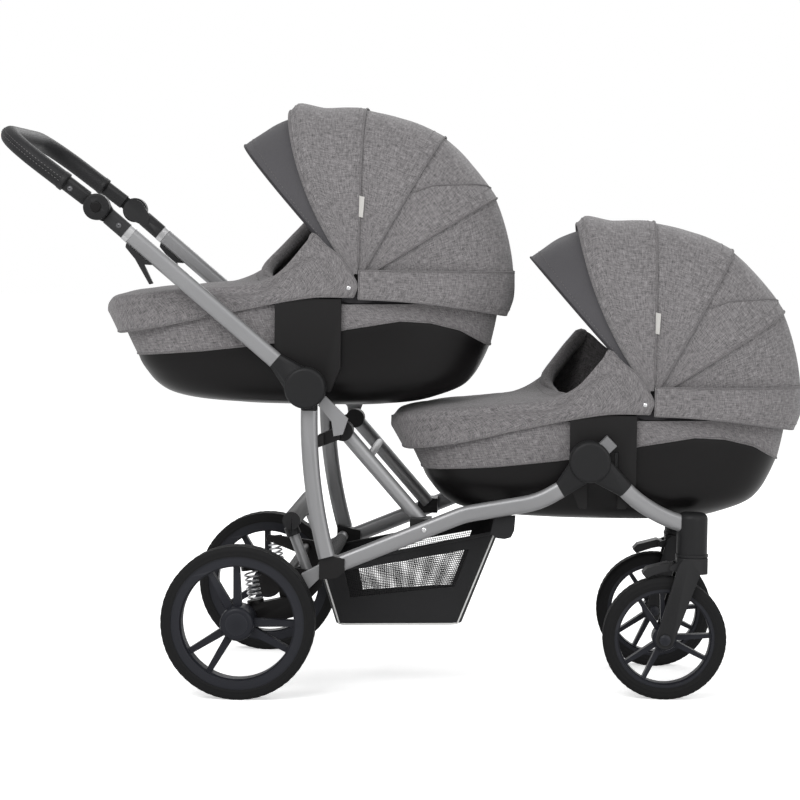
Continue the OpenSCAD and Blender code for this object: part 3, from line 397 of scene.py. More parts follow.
def moulded_material(name, colour, scale, rough, wear, bump=0.2, distance=0.0003):
    """Grained plastic, rubber or leatherette with rubbed edges."""
    made, tree, shader, coords = start_material(name)
    use = use_surface(tree, shader, coords.outputs["Object"], "grain", colour, rough)
    use.inputs["Scale"].default_value = scale
    wear_edges(tree, shader, use, [min(1, c * 1.5 + 0.03) for c in colour], wear)
    add_bump(tree, shader, use.outputs["Height"], bump, distance)
    shader.inputs["Specular IOR Level"].default_value = PLASTIC_GLOSS
    return made


def metal_material(name, colour, rough=0.4, metallic=0.5):
    """Drawn metal with rubbed edges."""
    made, tree, shader, coords = start_material(name)
    use = use_surface(tree, shader, coords.outputs["Object"], "brushed", colour, rough)
    wear_edges(tree, shader, use, [min(1, c * 1.25 + 0.05) for c in colour], METAL_WEAR)
    add_bump(tree, shader, use.outputs["Height"], *METAL_BUMP)
    shader.inputs["Metallic"].default_value = metallic
    return made


def finish(name):
    """The material of that finish, made the first time it is asked for."""
    if name in MATERIALS:
        return MATERIALS[name]
    f = finishes()
    trim = [c * 0.86 for c in f.linen]
    foam, hide = (0.0062, 0.0062, 0.0066), (0.0165, 0.0165, 0.0175)
    makers = {
        "linen": lambda: cloth_material("linen", f.linen, 470.0, 0.98, 0.93, 0.18, 0.6),
        "linen_trim": lambda: cloth_material("linen_trim", trim, 470.0, 0.7, 0.93, 0.15, 0.5),
        "lining": lambda: cloth_material("lining", (0.035, 0.033, 0.036), 1100.0, 0.2, 0.85, 0.1, 0.3),
        "visor": lambda: cloth_material("visor_cloth", f.visor, 1300.0, 0.16, 0.85, 0.12, 0.3),
        "binding": lambda: cloth_material("binding", (0.028, 0.027, 0.03), 1300.0, 0.2, 0.8, 0.1, 0.4),
        "mattress": lambda: cloth_material("cotton", (0.62, 0.6, 0.57), 1300.0, 0.12, 0.95, 0.2, 0.4),
        "basket": lambda: cloth_material("basket_cloth", (0.013, 0.013, 0.014), 1100.0, 0.2, 0.8, 0.08, 0.5),
        "net": lambda: cloth_material("basket_net", (0.014, 0.014, 0.015), 1500.0, 0.1, 0.75, 0.05, 0.3),
        "piping": lambda: cloth_material("white_piping", (0.62, 0.62, 0.61), 1500.0, 0.1, 0.75, 0.1, 0.3),
        "tag": lambda: cloth_material("tag", (0.5, 0.49, 0.47), 1600.0, 0.08, 0.8, 0.1, 0.2),
        "charcoal": lambda: moulded_material("charcoal_plastic", f.charcoal, 1500.0, 0.46, 0.35),
        "black": lambda: moulded_material("black_plastic", f.black, 1300.0, 0.42, 0.3),
        "tub": lambda: moulded_material("tub_plastic", f.black, 700.0, 0.36, 0.1, 0.15, 0.0003),
        "grey": lambda: moulded_material("grey_plastic", (0.15, 0.15, 0.155), 1400.0, 0.42, 0.3),
        "rim": lambda: moulded_material("rim_plastic", f.rim, 1600.0, 0.38, 0.4),
        "rubber": lambda: moulded_material("foam_rubber", foam, 700.0, 0.7, 0.2, 0.4, 0.0004),
        "leather": lambda: moulded_material("leatherette", hide, 620.0, 0.5, 0.25, 0.55, 0.0007),
        "thread": lambda: moulded_material("thread", (0.16, 0.155, 0.155), 2500.0, 0.8, 0.0, 0.2),
        "metal": lambda: metal_material("frame_metal", f.metal),
        "bright": lambda: metal_material("bright_steel", (0.62, 0.62, 0.63), 0.22, 1.0),
        "steel": lambda: metal_material("spring_steel", (0.5, 0.5, 0.51), 0.3, 1.0),
        "screw": lambda: metal_material("screw_steel", (0.12, 0.12, 0.125), 0.35, 0.9),
        "collar": lambda: metal_material("collar_metal", (0.46, 0.46, 0.465), 0.3, 0.9),
    }
    MATERIALS[name] = makers[name]()
    return MATERIALS[name]


# Mesh helpers
def new_object(name, data):
    """An object with that data, linked to the scene."""
    made = bpy.data.objects.new(name, data)
    bpy.context.scene.collection.objects.link(made)
    return made


def shade_smooth(mesh, angle=None):
    """Smooth shading; edges sharper than the angle in degrees stay hard."""
    for polygon in mesh.polygons:
        polygon.use_smooth = True
    if angle is not None:
        mesh.set_sharp_from_angle(angle=math.radians(angle))


def turn_angles(count):
    """Angles evenly spaced round a full turn."""
    return np.linspace(0, 2 * math.pi, count, endpoint=False)


def make_piece(name, points, faces, material, uv=None, smooth_angle=None):
    """A mesh object at the origin from points in metres; uv has one pair for each point."""
    mesh = bpy.data.meshes.new(name)
    mesh.from_pydata([tuple(p) for p in points], [], [tuple(int(i) for i in f) for f in faces])
    if uv is not None:
        layer = mesh.uv_layers.new(name="UVMap")
        corners = np.zeros(len(mesh.loops), dtype=np.int32)
        mesh.loops.foreach_get("vertex_index", corners)
        layer.data.foreach_set("uv", np.asarray(uv, dtype=np.float32)[corners].ravel())
    mesh.materials.append(material)
    mesh.validate()
    shade_smooth(mesh, smooth_angle)
    return new_object(name, mesh)


def put_on(piece, body, slot, *nodes):
    """The piece moves with the body and stands for the nodes, which are hidden. The slot is not used."""
    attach(piece, body)
    if nodes:
        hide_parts(*nodes)
    return piece


def apply_modifiers(piece):
    """The piece's mesh with its modifiers baked in."""
    depsgraph = bpy.context.evaluated_depsgraph_get()
    baked = bpy.data.meshes.new_from_object(piece.evaluated_get(depsgraph))
    piece.modifiers.clear()
    old = piece.data
    piece.data = baked
    bpy.data.meshes.remove(old)


def catmull(values, count, closed=False):
    """Points on a smooth curve through the rows of values, count for each step."""
    v = np.asarray(values, dtype=float)
    n = len(v)
    steps = n if closed else n - 1
    out = []
    for i in range(steps):
        if closed:
            p0, p1, p2, p3 = v[(i - 1) % n], v[i], v[(i + 1) % n], v[(i + 2) % n]
        else:
            p1, p2 = v[i], v[i + 1]
            p0 = v[i - 1] if i > 0 else 2 * p1 - p2
            p3 = v[i + 2] if i + 2 < n else 2 * p2 - p1
        for t in np.arange(count) / count:
            out.append(0.5 * (2 * p1 + (p2 - p0) * t + (2 * p0 - 5 * p1 + 4 * p2 - p3) * t * t
                              + (3 * p1 - p0 - 3 * p2 + p3) * t ** 3))
    if not closed:
        out.append(v[-1])
    return np.array(out)


def smooth_grid(grid, rows, cols, closed_cols=False):
    """A finer grid through a coarse one."""
    g = np.asarray(grid, dtype=float)
    g = catmull(g, rows)
    g = np.swapaxes(g, 0, 1)
    g = catmull(g, cols, closed_cols)
    return np.swapaxes(g, 0, 1)


def grid_lengths(g):
    """Distances along the rows and columns of a grid, which lay its weave flat."""
    du = np.linalg.norm(np.diff(g, axis=1), axis=2)
    dv = np.linalg.norm(np.diff(g, axis=0), axis=2)
    u = np.concatenate([np.zeros((len(g), 1)), np.cumsum(du, axis=1)], axis=1)
    u = u - u.mean(axis=1, keepdims=True)
    v = np.concatenate([np.zeros((1, g.shape[1])), np.cumsum(dv, axis=0)], axis=0)
    return np.stack([u, np.repeat(v.mean(axis=1)[:, None], g.shape[1], axis=1)], axis=2)


def grid_faces(n, m, closed_cols=False):
    """Four-sided faces of a grid of n rows and m columns."""
    last = m if closed_cols else m - 1
    return [(i * m + k, i * m + (k + 1) % m, (i + 1) * m + (k + 1) % m, (i + 1) * m + k)
            for i in range(n - 1) for k in range(last)]


def grid_normals(g):
    """Unit normals of a grid; they point along row change crossed with column change."""
    a = np.gradient(g, axis=0)
    b = np.gradient(g, axis=1)
    n = np.cross(b, a)
    length = np.linalg.norm(n, axis=2, keepdims=True)
    length[length < 1e-9] = 1
    return n / length


def cloth_shell(name, outer, thickness, material, flip=False):
    """A closed sheet of cloth under an outer grid, with its edges rolled shut."""
    g = np.asarray(outer, dtype=float)
    n, m, _ = g.shape
    normal = grid_normals(g) * (-1 if flip else 1)
    inner = g - normal * thickness
    points = np.concatenate([g.reshape(-1, 3), inner.reshape(-1, 3)])
    size = n * m
    faces = []
    for a, b, c, d in grid_faces(n, m):
        faces += [(a, b, c, d), (size + d, size + c, size + b, size + a)]
    ring = (list(range(m)) + [i * m + m - 1 for i in range(1, n)]
            + [(n - 1) * m + k for k in range(m - 2, -1, -1)] + [i * m for i in range(n - 2, 0, -1)])
    for a, b in zip(ring, ring[1:] + ring[:1]):
        faces.append((b, a, size + a, size + b))
    uv = grid_lengths(g).reshape(-1, 2)
    made = make_piece(name, points, faces, material, np.concatenate([uv, uv]), 50)
    return outward(made)


def outward(piece):
    """Turns the faces of a closed mesh outwards."""
    bm = bmesh.new()
    bm.from_mesh(piece.data)
    bmesh.ops.recalc_face_normals(bm, faces=bm.faces)
    bm.to_mesh(piece.data)
    bm.free()
    return piece


def tube(points, radius, sides=8, closed=False):
    """Points, faces and uv of a round tube along a path, ends domed shut."""
    p = np.asarray(points, dtype=float)
    n = len(p)
    if closed:
        tangent = np.roll(p, -1, axis=0) - np.roll(p, 1, axis=0)
    else:
        tangent = np.gradient(p, axis=0)
    tangent /= np.maximum(np.linalg.norm(tangent, axis=1, keepdims=True), 1e-9)
    side = np.cross(tangent[0], (0, 0, 1) if abs(tangent[0][2]) < 0.9 else (1, 0, 0))
    run, verts, uv = 0.0, [], []
    radii = np.full(n, radius) if np.isscalar(radius) else np.asarray(radius)
    for i in range(n):
        side = side - tangent[i] * side.dot(tangent[i])
        side /= np.linalg.norm(side)
        up = np.cross(tangent[i], side)
        if i:
            run += np.linalg.norm(p[i] - p[i - 1])
        for k in range(sides):
            a = 2 * math.pi * k / sides
            verts.append(p[i] + radii[i] * (math.cos(a) * side + math.sin(a) * up))
            uv.append((a * radii[i], run))
    faces = [(i * sides + k, i * sides + (k + 1) % sides, (i + 1) % n * sides + (k + 1) % sides,
              (i + 1) % n * sides + k)
             for i in range(n if closed else n - 1) for k in range(sides)]
    if not closed:
        for i, sign in ((0, -1), (n - 1, 1)):
            verts.append(p[i] + tangent[i] * radii[i] * 0.6 * sign)
            uv.append((0, 0))
            tip = len(verts) - 1
            for k in range(sides):
                a, b = i * sides + k, i * sides + (k + 1) % sides
                faces.append((b, a, tip) if i == 0 else (a, b, tip))
    return np.array(verts), faces, uv


def tubes_piece(name, paths, radius, material, sides=8, closed=False):
    """One mesh of several tubes."""
    points, faces, uvs = [], [], []
    for path in paths:
        v, f, uv = tube(path, radius, sides, closed)
        start = len(points)
        points += list(v)
        uvs += list(uv)
        faces += [tuple(start + i for i in face) for face in f]
    return outward(make_piece(name, points, faces, material, uvs))


def join_pieces(name, pieces):
    """Several mesh objects as one."""
    bm = bmesh.new()
    for piece in pieces:
        bm.from_mesh(piece.data)
    mesh = pieces[0].data
    bm.to_mesh(mesh)
    bm.free()
    for piece in pieces[1:]:
        bpy.data.objects.remove(piece)
    pieces[0].name = name
    return pieces[0]


def dressed_copy(cad, material, edge=None, angle=38):
    """A merged copy of a solid with its hard edges rounded."""
    source = frame["nodes"][cad]
    made = new_object(cad + "_skin", source.data.copy())
    bm = bmesh.new()
    bm.from_mesh(made.data)
    bmesh.ops.remove_doubles(bm, verts=bm.verts, dist=1e-6)
    bmesh.ops.dissolve_limit(bm, angle_limit=math.radians(0.6), verts=bm.verts, edges=bm.edges)
    bm.to_mesh(made.data)
    bm.free()
    made.data.materials.clear()
    made.data.materials.append(material)
    shade_smooth(made.data, angle)
    if edge:
        bevel = made.modifiers.new("edge", "BEVEL")
        bevel.width = edge
        bevel.segments = 2
        bevel.limit_method = "ANGLE"
        bevel.angle_limit = math.radians(angle)
        bevel.harden_normals = True
        apply_modifiers(made)
    return made


# Geometry Nodes trees for what repeats
def points_tree(name, maker):
    """A tree that puts one shape on each point, turned by the point's normal, and realizes it."""
    tree = bpy.data.node_groups.new(name, "GeometryNodeTree")
    tree.interface.new_socket(name="Geometry", in_out="INPUT", socket_type="NodeSocketGeometry")
    size = tree.interface.new_socket(name="Size", in_out="INPUT", socket_type="NodeSocketFloat")
    size.default_value = 0.004
    finish_in = tree.interface.new_socket(name="Finish", in_out="INPUT", socket_type="NodeSocketMaterial")
    tree.interface.new_socket(name="Geometry", in_out="OUTPUT", socket_type="NodeSocketGeometry")
    put, out = tree.nodes.new("NodeGroupInput"), tree.nodes.new("NodeGroupOutput")
    shape = maker(tree, put.outputs["Size"])
    facing = node(tree, "GeometryNodeInputNamedAttribute", data_type="FLOAT_VECTOR", i_Name="facing")
    turn = node(tree, "FunctionNodeAlignRotationToVector", axis="Z")
    tree.links.new(facing.outputs[0], turn.inputs["Vector"])
    along = node(tree, "GeometryNodeInputNamedAttribute", data_type="FLOAT_VECTOR", i_Name="along")
    turn_x = node(tree, "FunctionNodeAlignRotationToVector", axis="X", pivot_axis="Z")
    tree.links.new(turn.outputs[0], turn_x.inputs["Rotation"])
    tree.links.new(along.outputs[0], turn_x.inputs["Vector"])
    instance = node(tree, "GeometryNodeInstanceOnPoints")
    tree.links.new(put.outputs["Geometry"], instance.inputs["Points"])
    tree.links.new(shape, instance.inputs["Instance"])
    tree.links.new(turn_x.outputs[0], instance.inputs["Rotation"])
    real = node(tree, "GeometryNodeRealizeInstances")
    tree.links.new(instance.outputs[0], real.inputs[0])
    paint = node(tree, "GeometryNodeSetMaterial")
    tree.links.new(real.outputs[0], paint.inputs["Geometry"])
    tree.links.new(put.outputs["Finish"], paint.inputs["Material"])
    tree.links.new(paint.outputs[0], out.inputs[0])
    return tree, size.identifier, finish_in.identifier


def scaled(tree, size, factors):
    """A vector of the size times each factor."""
    made = node(tree, "ShaderNodeCombineXYZ")
    for socket, factor in zip(made.inputs, factors):
        tree.links.new(math_node(tree, "MULTIPLY", size, factor), socket)
    return made.outputs[0]


def domed_head(tree, size, segments, rings, rise):
    """A flattened round head."""
    head = node(tree, "GeometryNodeMeshUVSphere", i_Segments=segments, i_Rings=rings)
    tree.links.new(size, head.inputs["Radius"])
    flat = node(tree, "GeometryNodeTransform")
    flat.inputs["Scale"].default_value = (1, 1, rise)
    tree.links.new(head.outputs[0], flat.inputs["Geometry"])
    return flat.outputs[0]


def screw_shape(tree, size):
    """A domed screw head with a cross-shaped socket sunk into it."""
    head = domed_head(tree, size, 20, 10, 0.42)
    collar = node(tree, "GeometryNodeMeshCylinder", i_Vertices=20)
    tree.links.new(math_node(tree, "MULTIPLY", size, 1.18), collar.inputs["Radius"])
    tree.links.new(math_node(tree, "MULTIPLY", size, 0.3), collar.inputs["Depth"])
    cut = node(tree, "GeometryNodeMeshBoolean", operation="DIFFERENCE")
    tree.links.new(head, cut.inputs["Mesh 1"])
    for turned in (0, math.pi / 2):
        bar = node(tree, "GeometryNodeMeshCube")
        tree.links.new(scaled(tree, size, (1.1, 0.22, 0.35)), bar.inputs["Size"])
        move = node(tree, "GeometryNodeTransform")
        move.inputs["Rotation"].default_value = (0, 0, turned)
        tree.links.new(bar.outputs[0], move.inputs["Geometry"])
        tree.links.new(scaled(tree, size, (0, 0, 0.36)), move.inputs["Translation"])
        tree.links.new(move.outputs[0], cut.inputs["Mesh 2"])
    both = node(tree, "GeometryNodeJoinGeometry")
    tree.links.new(cut.outputs[0], both.inputs[0])
    tree.links.new(collar.outputs[0], both.inputs[0])
    return both.outputs[0]


def rivet_shape(tree, size):
    """A plain domed rivet head."""
    return domed_head(tree, size, 16, 8, 0.45)


def stitch_shape(tree, size):
    """One thread stitch, lying along X."""
    head = node(tree, "GeometryNodeMeshUVSphere", i_Segments=6, i_Rings=4)
    head.inputs["Radius"].default_value = 1.0
    flat = node(tree, "GeometryNodeTransform")
    tree.links.new(head.outputs[0], flat.inputs["Geometry"])
    tree.links.new(scaled(tree, size, (0.5, 0.13, 0.13)), flat.inputs["Scale"])
    return flat.outputs[0]


TREES = {}


def repeat(name, kind, places, size, material):
    """One mesh of a repeated shape; places are (point, facing, along) triples."""
    if kind not in TREES:
        maker = {"screw": screw_shape, "rivet": rivet_shape, "stitch": stitch_shape}[kind]
        TREES[kind] = points_tree(kind, maker)
    tree, size_id, finish_id = TREES[kind]
    mesh = bpy.data.meshes.new(name)
    mesh.from_pydata([tuple(p[0]) for p in places], [], [])
    for label, column in (("facing", 1), ("along", 2)):
        layer = mesh.attributes.new(label, "FLOAT_VECTOR", "POINT")
        vectors = np.array([tuple(p[column]) for p in places], dtype=np.float32)
        layer.data.foreach_set("vector", vectors.ravel())
    made = new_object(name, mesh)
    maker = made.modifiers.new(kind, "NODES")
    maker.node_group = tree
    maker[size_id] = size
    maker[finish_id] = material
    apply_modifiers(made)
    for label in ("facing", "along"):
        if label in made.data.attributes:
            made.data.attributes.remove(made.data.attributes[label])
    shade_smooth(made.data, 40)
    return made


def stitches_on(path, normals, pitch):
    """Places of the stitches along a path that lies on a surface."""
    p = np.asarray(path, dtype=float)
    n = np.asarray(normals, dtype=float)
    run = np.concatenate([[0], np.cumsum(np.linalg.norm(np.diff(p, axis=0), axis=1))])
    marks = np.arange(pitch / 2, run[-1], pitch)

    def along(values, where):
        return np.stack([np.interp(where, run, values[:, i]) for i in range(3)], axis=1)

    ahead, behind = along(p, marks + pitch / 4), along(p, marks - pitch / 4)
    return list(zip(along(p, marks), along(n, marks), ahead - behind))


STITCH_GAP, STITCH_LIFT = 1.7, 0.0003


def sew(name, places, body, slot):
    """Stitches at those places, on their body."""
    put_on(repeat(name, "stitch", places, cot_sizes().stitch, finish("thread")), body, slot)


# Cloth of the carrycots
HOOD_RADII = ((0, 292), (33, 304), (62, 318), (90, 328), (104, 336), (108, 350), (111, 361), (114, 350),
              (140, 346))
VISOR_RADII = ((100, 330), (110, 334), (116, 343), (121, 345), (140, 345))
PROFILE = (-89.3, -85, -76, -66, -54, -38, -20, 0, 20, 38, 54, 66, 76, 85, 89.3)
BASE_LOW, SPAN, BRIM = 4.0, 28.5, 114.0
HOOD_START = BASE_LOW + SPAN
LAP = 1.5


def squash(c, n):
    """A sine or cosine bent to a superellipse of power n."""
    return math.copysign(abs(c) ** (2 / n), c)


def ripple(p, size):
    """A soft, fixed wave height at a point in metres; size is the length of a wave."""
    q = np.asarray(p) / size
    along = np.sin(q[0] * 2.1 + 1.7 * np.sin(q[2] * 1.3))
    up = np.sin(q[2] * 1.7 + 1.3 * np.sin(q[1] * 2.3))
    return float(along * up + 0.5 * np.sin(q[1] * 3.7 + q[0] * 2.9))


def hood_radius(t, table):
    """Radius of the hood at an angle, softened between the table's points."""
    xs, ys = zip(*table)
    return sum(w * np.interp(t + d, xs, ys) for d, w in ((-1.3, 0.25), (0, 0.5), (1.3, 0.25)))


def hood_point(t, s, out, table=HOOD_RADII):
    """A point of the hood in mm: t round the hub, s across, out from the base layer."""
    r = (hood_radius(t, table) + out) * squash(math.cos(math.radians(s)), HOOD_N)
    y = (HALF_W + 3 + out) * squash(math.sin(math.radians(s)), HOOD_N)
    a = math.radians(t)
    return (HUB[0] + r * math.cos(a), y, HUB[1] + r * math.sin(a))


def fine_profile(steps=5):
    """Angles across a hood panel."""
    idx = np.arange((len(PROFILE) - 1) * steps + 1) / steps
    return np.interp(idx, np.arange(len(PROFILE)), PROFILE)


def to_metres(grid, cot):
    """A grid in mm at the rear cot, in metres at the cot that is asked for."""
    g = np.asarray(grid, dtype=float) / 1000
    g[..., 0] += AXLE_X
    return g + np.array(COT_STEP[cot])


def hood_grid(cot, lean, span, layers, rows, table=HOOD_RADII, step=0, sag_to=1.0):
    """Grid of one hood panel between two angles, dipping a little between its bows."""
    sizes = cot_sizes()
    sag, wave = sizes.panel_sag * 1000, sizes.wrinkle * 1000
    grid = []
    for i in range(rows + 1):
        u = i / rows
        row = []
        for s in fine_profile():
            side = (abs(s) / 90) ** 2
            a, b = span[0] + lean[0] * side, span[1] + lean[1] * side
            t = a + (b - a) * u
            dip = math.sin(math.pi * min(1, u / sag_to)) * (1 - side ** 2)
            low = step * LAYER * max(0, 1 - u * rows / 3)
            out = layers * LAYER - low - sag * dip
            p = hood_point(t, s, out, table)
            out += wave * dip * ripple(np.array(p) / 1000, 0.055)
            row.append(hood_point(t, s, out, table))
        grid.append(row)
    return to_metres(grid, cot)


def cloth_panel(name, grid, material, lining, thickness=0.0018, flip=False):
    """A sewn cloth panel: cloth outside, lining inside."""
    piece = cloth_shell(name, grid, thickness, material, flip)
    n, m = grid.shape[:2]
    piece.data.materials.append(lining)
    size = n * m
    for polygon in piece.data.polygons:
        if all(v >= size for v in polygon.vertices):
            polygon.material_index = 1
    return piece


def seam_row(grid, row, lift):
    """A grid's row, raised off the cloth."""
    normals = grid_normals(grid)
    return grid[row] + normals[row] * lift, normals[row]


def stitched(name, grid, row, body, slot, trim):
    """A row of stitches on a panel, short of its ends by trim points."""
    path, normals = seam_row(grid, row, STITCH_LIFT)
    pitch = cot_sizes().stitch * STITCH_GAP
    sew(name, stitches_on(path[trim:-trim], normals[trim:-trim], pitch), body, slot)


def make_hood(cot):
    """Four cloth panels on their bows, piped and stitched along the seams."""
    r = cot_sizes().piping
    linen, lining = finish("linen"), finish("lining")
    panels = (("back", (HOOD_START, HOOD_START + SPAN + LAP), (0, 0), 1, 14, 0, 1.0),
              ("mid", (HOOD_START + SPAN, HOOD_START + 2 * SPAN + LAP), (0, 0), 2, 14, 0, 1.0),
              ("front", (HOOD_START + 2 * SPAN, BRIM), (0, 13), 4, 24, 1, 0.6))
    for label, span, lean, layers, rows, step, sag_to in panels:
        node_name = f"{cot}_hood_{label}"
        grid = hood_grid(cot, lean, span, layers, rows, step=step, sag_to=sag_to)
        piece = cloth_panel(node_name + "_cloth", grid, linen, lining)
        put_on(piece, node_name, "linen", node_name)
        path, _ = seam_row(grid, 0, 0.0)
        pipe = tubes_piece(node_name + "_piping", [path[2:-2]], r, finish("linen_trim"))
        put_on(pipe, node_name, "linen")
        stitched(node_name + "_stitches", grid, 2, node_name, "linen", trim=8)
        if label == "front":
            edge, _ = seam_row(grid, len(grid) - 1, -0.0012)
            roll = tubes_piece(node_name + "_edge", [edge], 0.0032, finish("linen_trim"), 10)
            put_on(roll, node_name, "linen")
            stitched(node_name + "_edge_stitches", grid, len(grid) - 3, node_name, "linen", trim=8)
        if label == "back":
            make_vent(grid, node_name)
    make_hood_base(cot)
    make_tag(cot)
    make_hinge_lining(cot)


VENT = ((60.5, -60), (57, -56), (52.5, -49), (48, -42), (42.5, -30), (37.5, -9), (37, 0))


def make_vent(grid, body):
    """Curved zip seam of the vent in the rear panel."""
    marks = list(VENT) + [(t, -s) for t, s in VENT[-2::-1]]
    raised = grid + grid_normals(grid) * 0.0004
    profile = fine_profile()
    path = []
    for t, s in catmull(marks, 6):
        r = min((t - HOOD_START) / (SPAN + LAP), 0.999) * (len(grid) - 1)
        c = np.interp(s, profile, np.arange(len(profile)))
        i, k = int(r), int(c)
        f, g = r - i, c - k
        path.append((raised[i, k] * (1 - g) + raised[i, k + 1] * g) * (1 - f)
                    + (raised[i + 1, k] * (1 - g) + raised[i + 1, k + 1] * g) * f)
    put_on(tubes_piece(body + "_vent", [np.array(path)], 0.0016, finish("linen_trim")), body, "linen")


HINGE, HINGE_HALF = (212, 774), (34, 30)
HINGE_ROWS = ((183.2, 0.9), (183.2, 1.0), (185.0, 1.0), (185.0, 0.9))


def make_hinge_lining(cot):
    """Lining over the hood's hinges, inside the cloth on both sides."""
    patches = []
    for sign in (-1, 1):
        rows = []
        for y, f in HINGE_ROWS:
            rows.append([(HINGE[0] + HINGE_HALF[0] * f * squash(math.cos(a), 4), sign * y,
                          HINGE[1] + HINGE_HALF[1] * f * squash(math.sin(a), 4))
                         for a in turn_angles(40)])
        patches.append(loft_piece(f"{cot}_hinge{sign}", to_metres(rows, cot), finish("lining")))
    put_on(join_pieces(f"{cot}_hood_hinge_lining", patches), f"{cot}_cot", "linen")


def ease(f):
    """A soft step from 0 to 1."""
    u = max(0.0, min(1.0, f))
    return u * u * (3 - 2 * u)


SKIRT_TOP, SKIRT_STEP, SKIRT_GAP = 806.0, 5 * LAYER + 0.2, CLOTH + 0.6
SKIRT_HEM, SKIRT_DIP, SKIRT_END, SKIRT_TURN, SKIRT_RUN = 752, 34, 11, 35, 25
SKIRT_ROWS = ((0, 0.955), (0.2, 0.98), (0.4, 0.996), (0.6, 1.002), (0.8, 1.003), (0.94, 1.001), (1, 1.0))
TAIL_ROWS = ((0.05, 0.955), (0.35, 0.985))


def skirt_out(s):
    """How far the skirt stands out from the base panel, more at the sides."""
    return SKIRT_GAP + (SKIRT_STEP - SKIRT_GAP) * ease((abs(s) - SKIRT_TURN) / SKIRT_RUN)


def skirt_point(s, u, f, out):
    """A point of the skirt at a share u of its height, drawn in by f along the cot."""
    x, y, _ = hood_point(BASE_LOW, s, out)
    x = HUB[0] + (x - HUB[0]) * f
    low = SKIRT_HEM - SKIRT_DIP * ((x - HUB[0]) / HOOD_RADII[0][1]) ** 2
    return (x - SKIRT_END * (abs(s) / PROFILE[-1]) ** 10, y, low + (SKIRT_TOP - low) * u)


def make_hood_base(cot):
    """Fixed rear panel inside, and the skirt that hangs over the band outside."""
    body, node_name = f"{cot}_cot", f"{cot}_hood_base"
    sag = cot_sizes().panel_sag * 1000
    rows = []
    for i in range(13):
        u = i / 12
        row = []
        for s in fine_profile():
            dip = math.sin(math.pi * u) * (1 - (abs(s) / 90) ** 4)
            row.append(hood_point(BASE_LOW + (SPAN + LAP) * u, s, -sag * dip))
        rows.append(row)
    tail = [[skirt_point(s, u, f, 0) for s in fine_profile()] for u, f in TAIL_ROWS]
    grid = to_metres(tail + rows, cot)
    piece = cloth_panel(node_name + "_cloth", grid, finish("linen"), finish("lining"))
    put_on(piece, body, "linen", node_name)
    wave = cot_sizes().wrinkle * 1000
    coarse = []
    for u, f in SKIRT_ROWS:
        row = []
        for s in fine_profile():
            p = skirt_point(s, u, f, skirt_out(s))
            soft = math.sin(math.pi * u) * (1 - (abs(s) / 90) ** 6)
            puff = wave * 0.6 * soft * ripple(np.array(p) / 1000, 0.05)
            row.append(skirt_point(s, u, f, skirt_out(s) + puff))
        coarse.append(row)
    grid = to_metres(smooth_grid(coarse, 3, 1), cot)
    skirt = cloth_panel(node_name + "_skirt", grid, finish("linen"), finish("lining"))
    put_on(skirt, body, "linen", node_name)
    top, _ = seam_row(grid, len(grid) - 1, -0.0008)
    hem, _ = seam_row(grid, 0, -0.0008)
    front = [grid[:, k] for k in (0, -1)]
    pipe = tubes_piece(node_name + "_piping", [top, hem, *front], 0.0016, finish("linen_trim"))
    put_on(pipe, body, "linen")
    stitched(node_name + "_stitches", grid, 2, body, "linen", trim=4)
    stitched(node_name + "_seam_stitches", grid, len(grid) - 3, body, "linen", trim=4)


TAG_ROWS = ((86.4, 2.6), (87.6, 2.9), (88.8, 3.3), (89.8, 3.8))
TAG_COLS = (69, 70.5, 72, 73.5, 75, 76)


def make_tag(cot):
    """A blank sewn tag on the front seam, on both sides."""
    body = f"{cot}_hood_front"
    tags = []
    for side in (-1, 1):
        rows = []
        for t, layer in TAG_ROWS:
            rows.append([hood_point(t, side * s, layer * LAYER + 0.8) for s in TAG_COLS])
        grid = smooth_grid(to_metres(rows, cot), 2, 2)
        if side < 0:
            grid = grid[:, ::-1]
        tags.append(cloth_shell(f"{cot}_tag{side}", grid, 0.0009, finish("tag")))
    put_on(join_pieces(f"{cot}_hood_tag", tags), body, "linen")


def make_visor(cot):
    """Visor on its own bow, bound along the edge."""
    name = f"{cot}_visor"
    grid = hood_grid(cot, (12, 1), (BRIM - 4, 132.0), 3, 14, VISOR_RADII)
    piece = cloth_panel(name + "_cloth", grid, finish("visor"), finish("lining"))
    put_on(piece, name, "visor_cloth", name)
    edge, _ = seam_row(grid, len(grid) - 1, -0.0008)
    put_on(tubes_piece(name + "_binding", [edge], 0.0026, finish("binding"), 10), name, "visor_cloth")
    stitched(name + "_stitches", grid, len(grid) - 3, name, "visor_cloth", trim=8)


# Apron over the foot of the cot, in rows from the foot to the rear edge
APRON_ROWS, APRON_FINE = 11, 4
NOSE = 0.001
UNDER_DROP, UNDER_X, UNDER_RUN = 3.5, -40, 100
FACING = 16
FLOP_X, FLOP_Z = 34, 20
ROLL_V, ROLL_X, ROLL_Z = (0, 0.4, 0.75, 0.95), (0, -24, -30, -42), (0, 16, 49, 30)
ROLL_R, ROLL_GROW = 0.004, 0.0105
APRON_X = (-292.0, 480.0)
APRON_MID, APRON_HALF = sum(APRON_X) / 2, (APRON_X[1] - APRON_X[0]) / 2
APRON_OUT, STEP_X, STEP_RUN = 3.2, 20, 70
BACK_X, BACK_REACH = 30, 96
HEM_TUCK, WALL_DROP = 0.055, 14
WING_H, WING_Y = 100.0, HALF_W + 15.2
WING_X, WING_RUN, WING_POWER = 30, 95, 1.15
WALL_END = ((0, 204), (0.13, 210), (0.24, 209), (0.46, 192.5), (0.62, 179.5), (0.81, 151), (1, 127))
APRON_TOP = ((-0.95, -4), (-0.75, 0), (-0.4, 3), (0, 4), (0.4, 3), (0.75, 0), (0.95, -4))
HEM = ((-270, 679), (-183, 693), (8, 732), (112, 755), (220, 756))
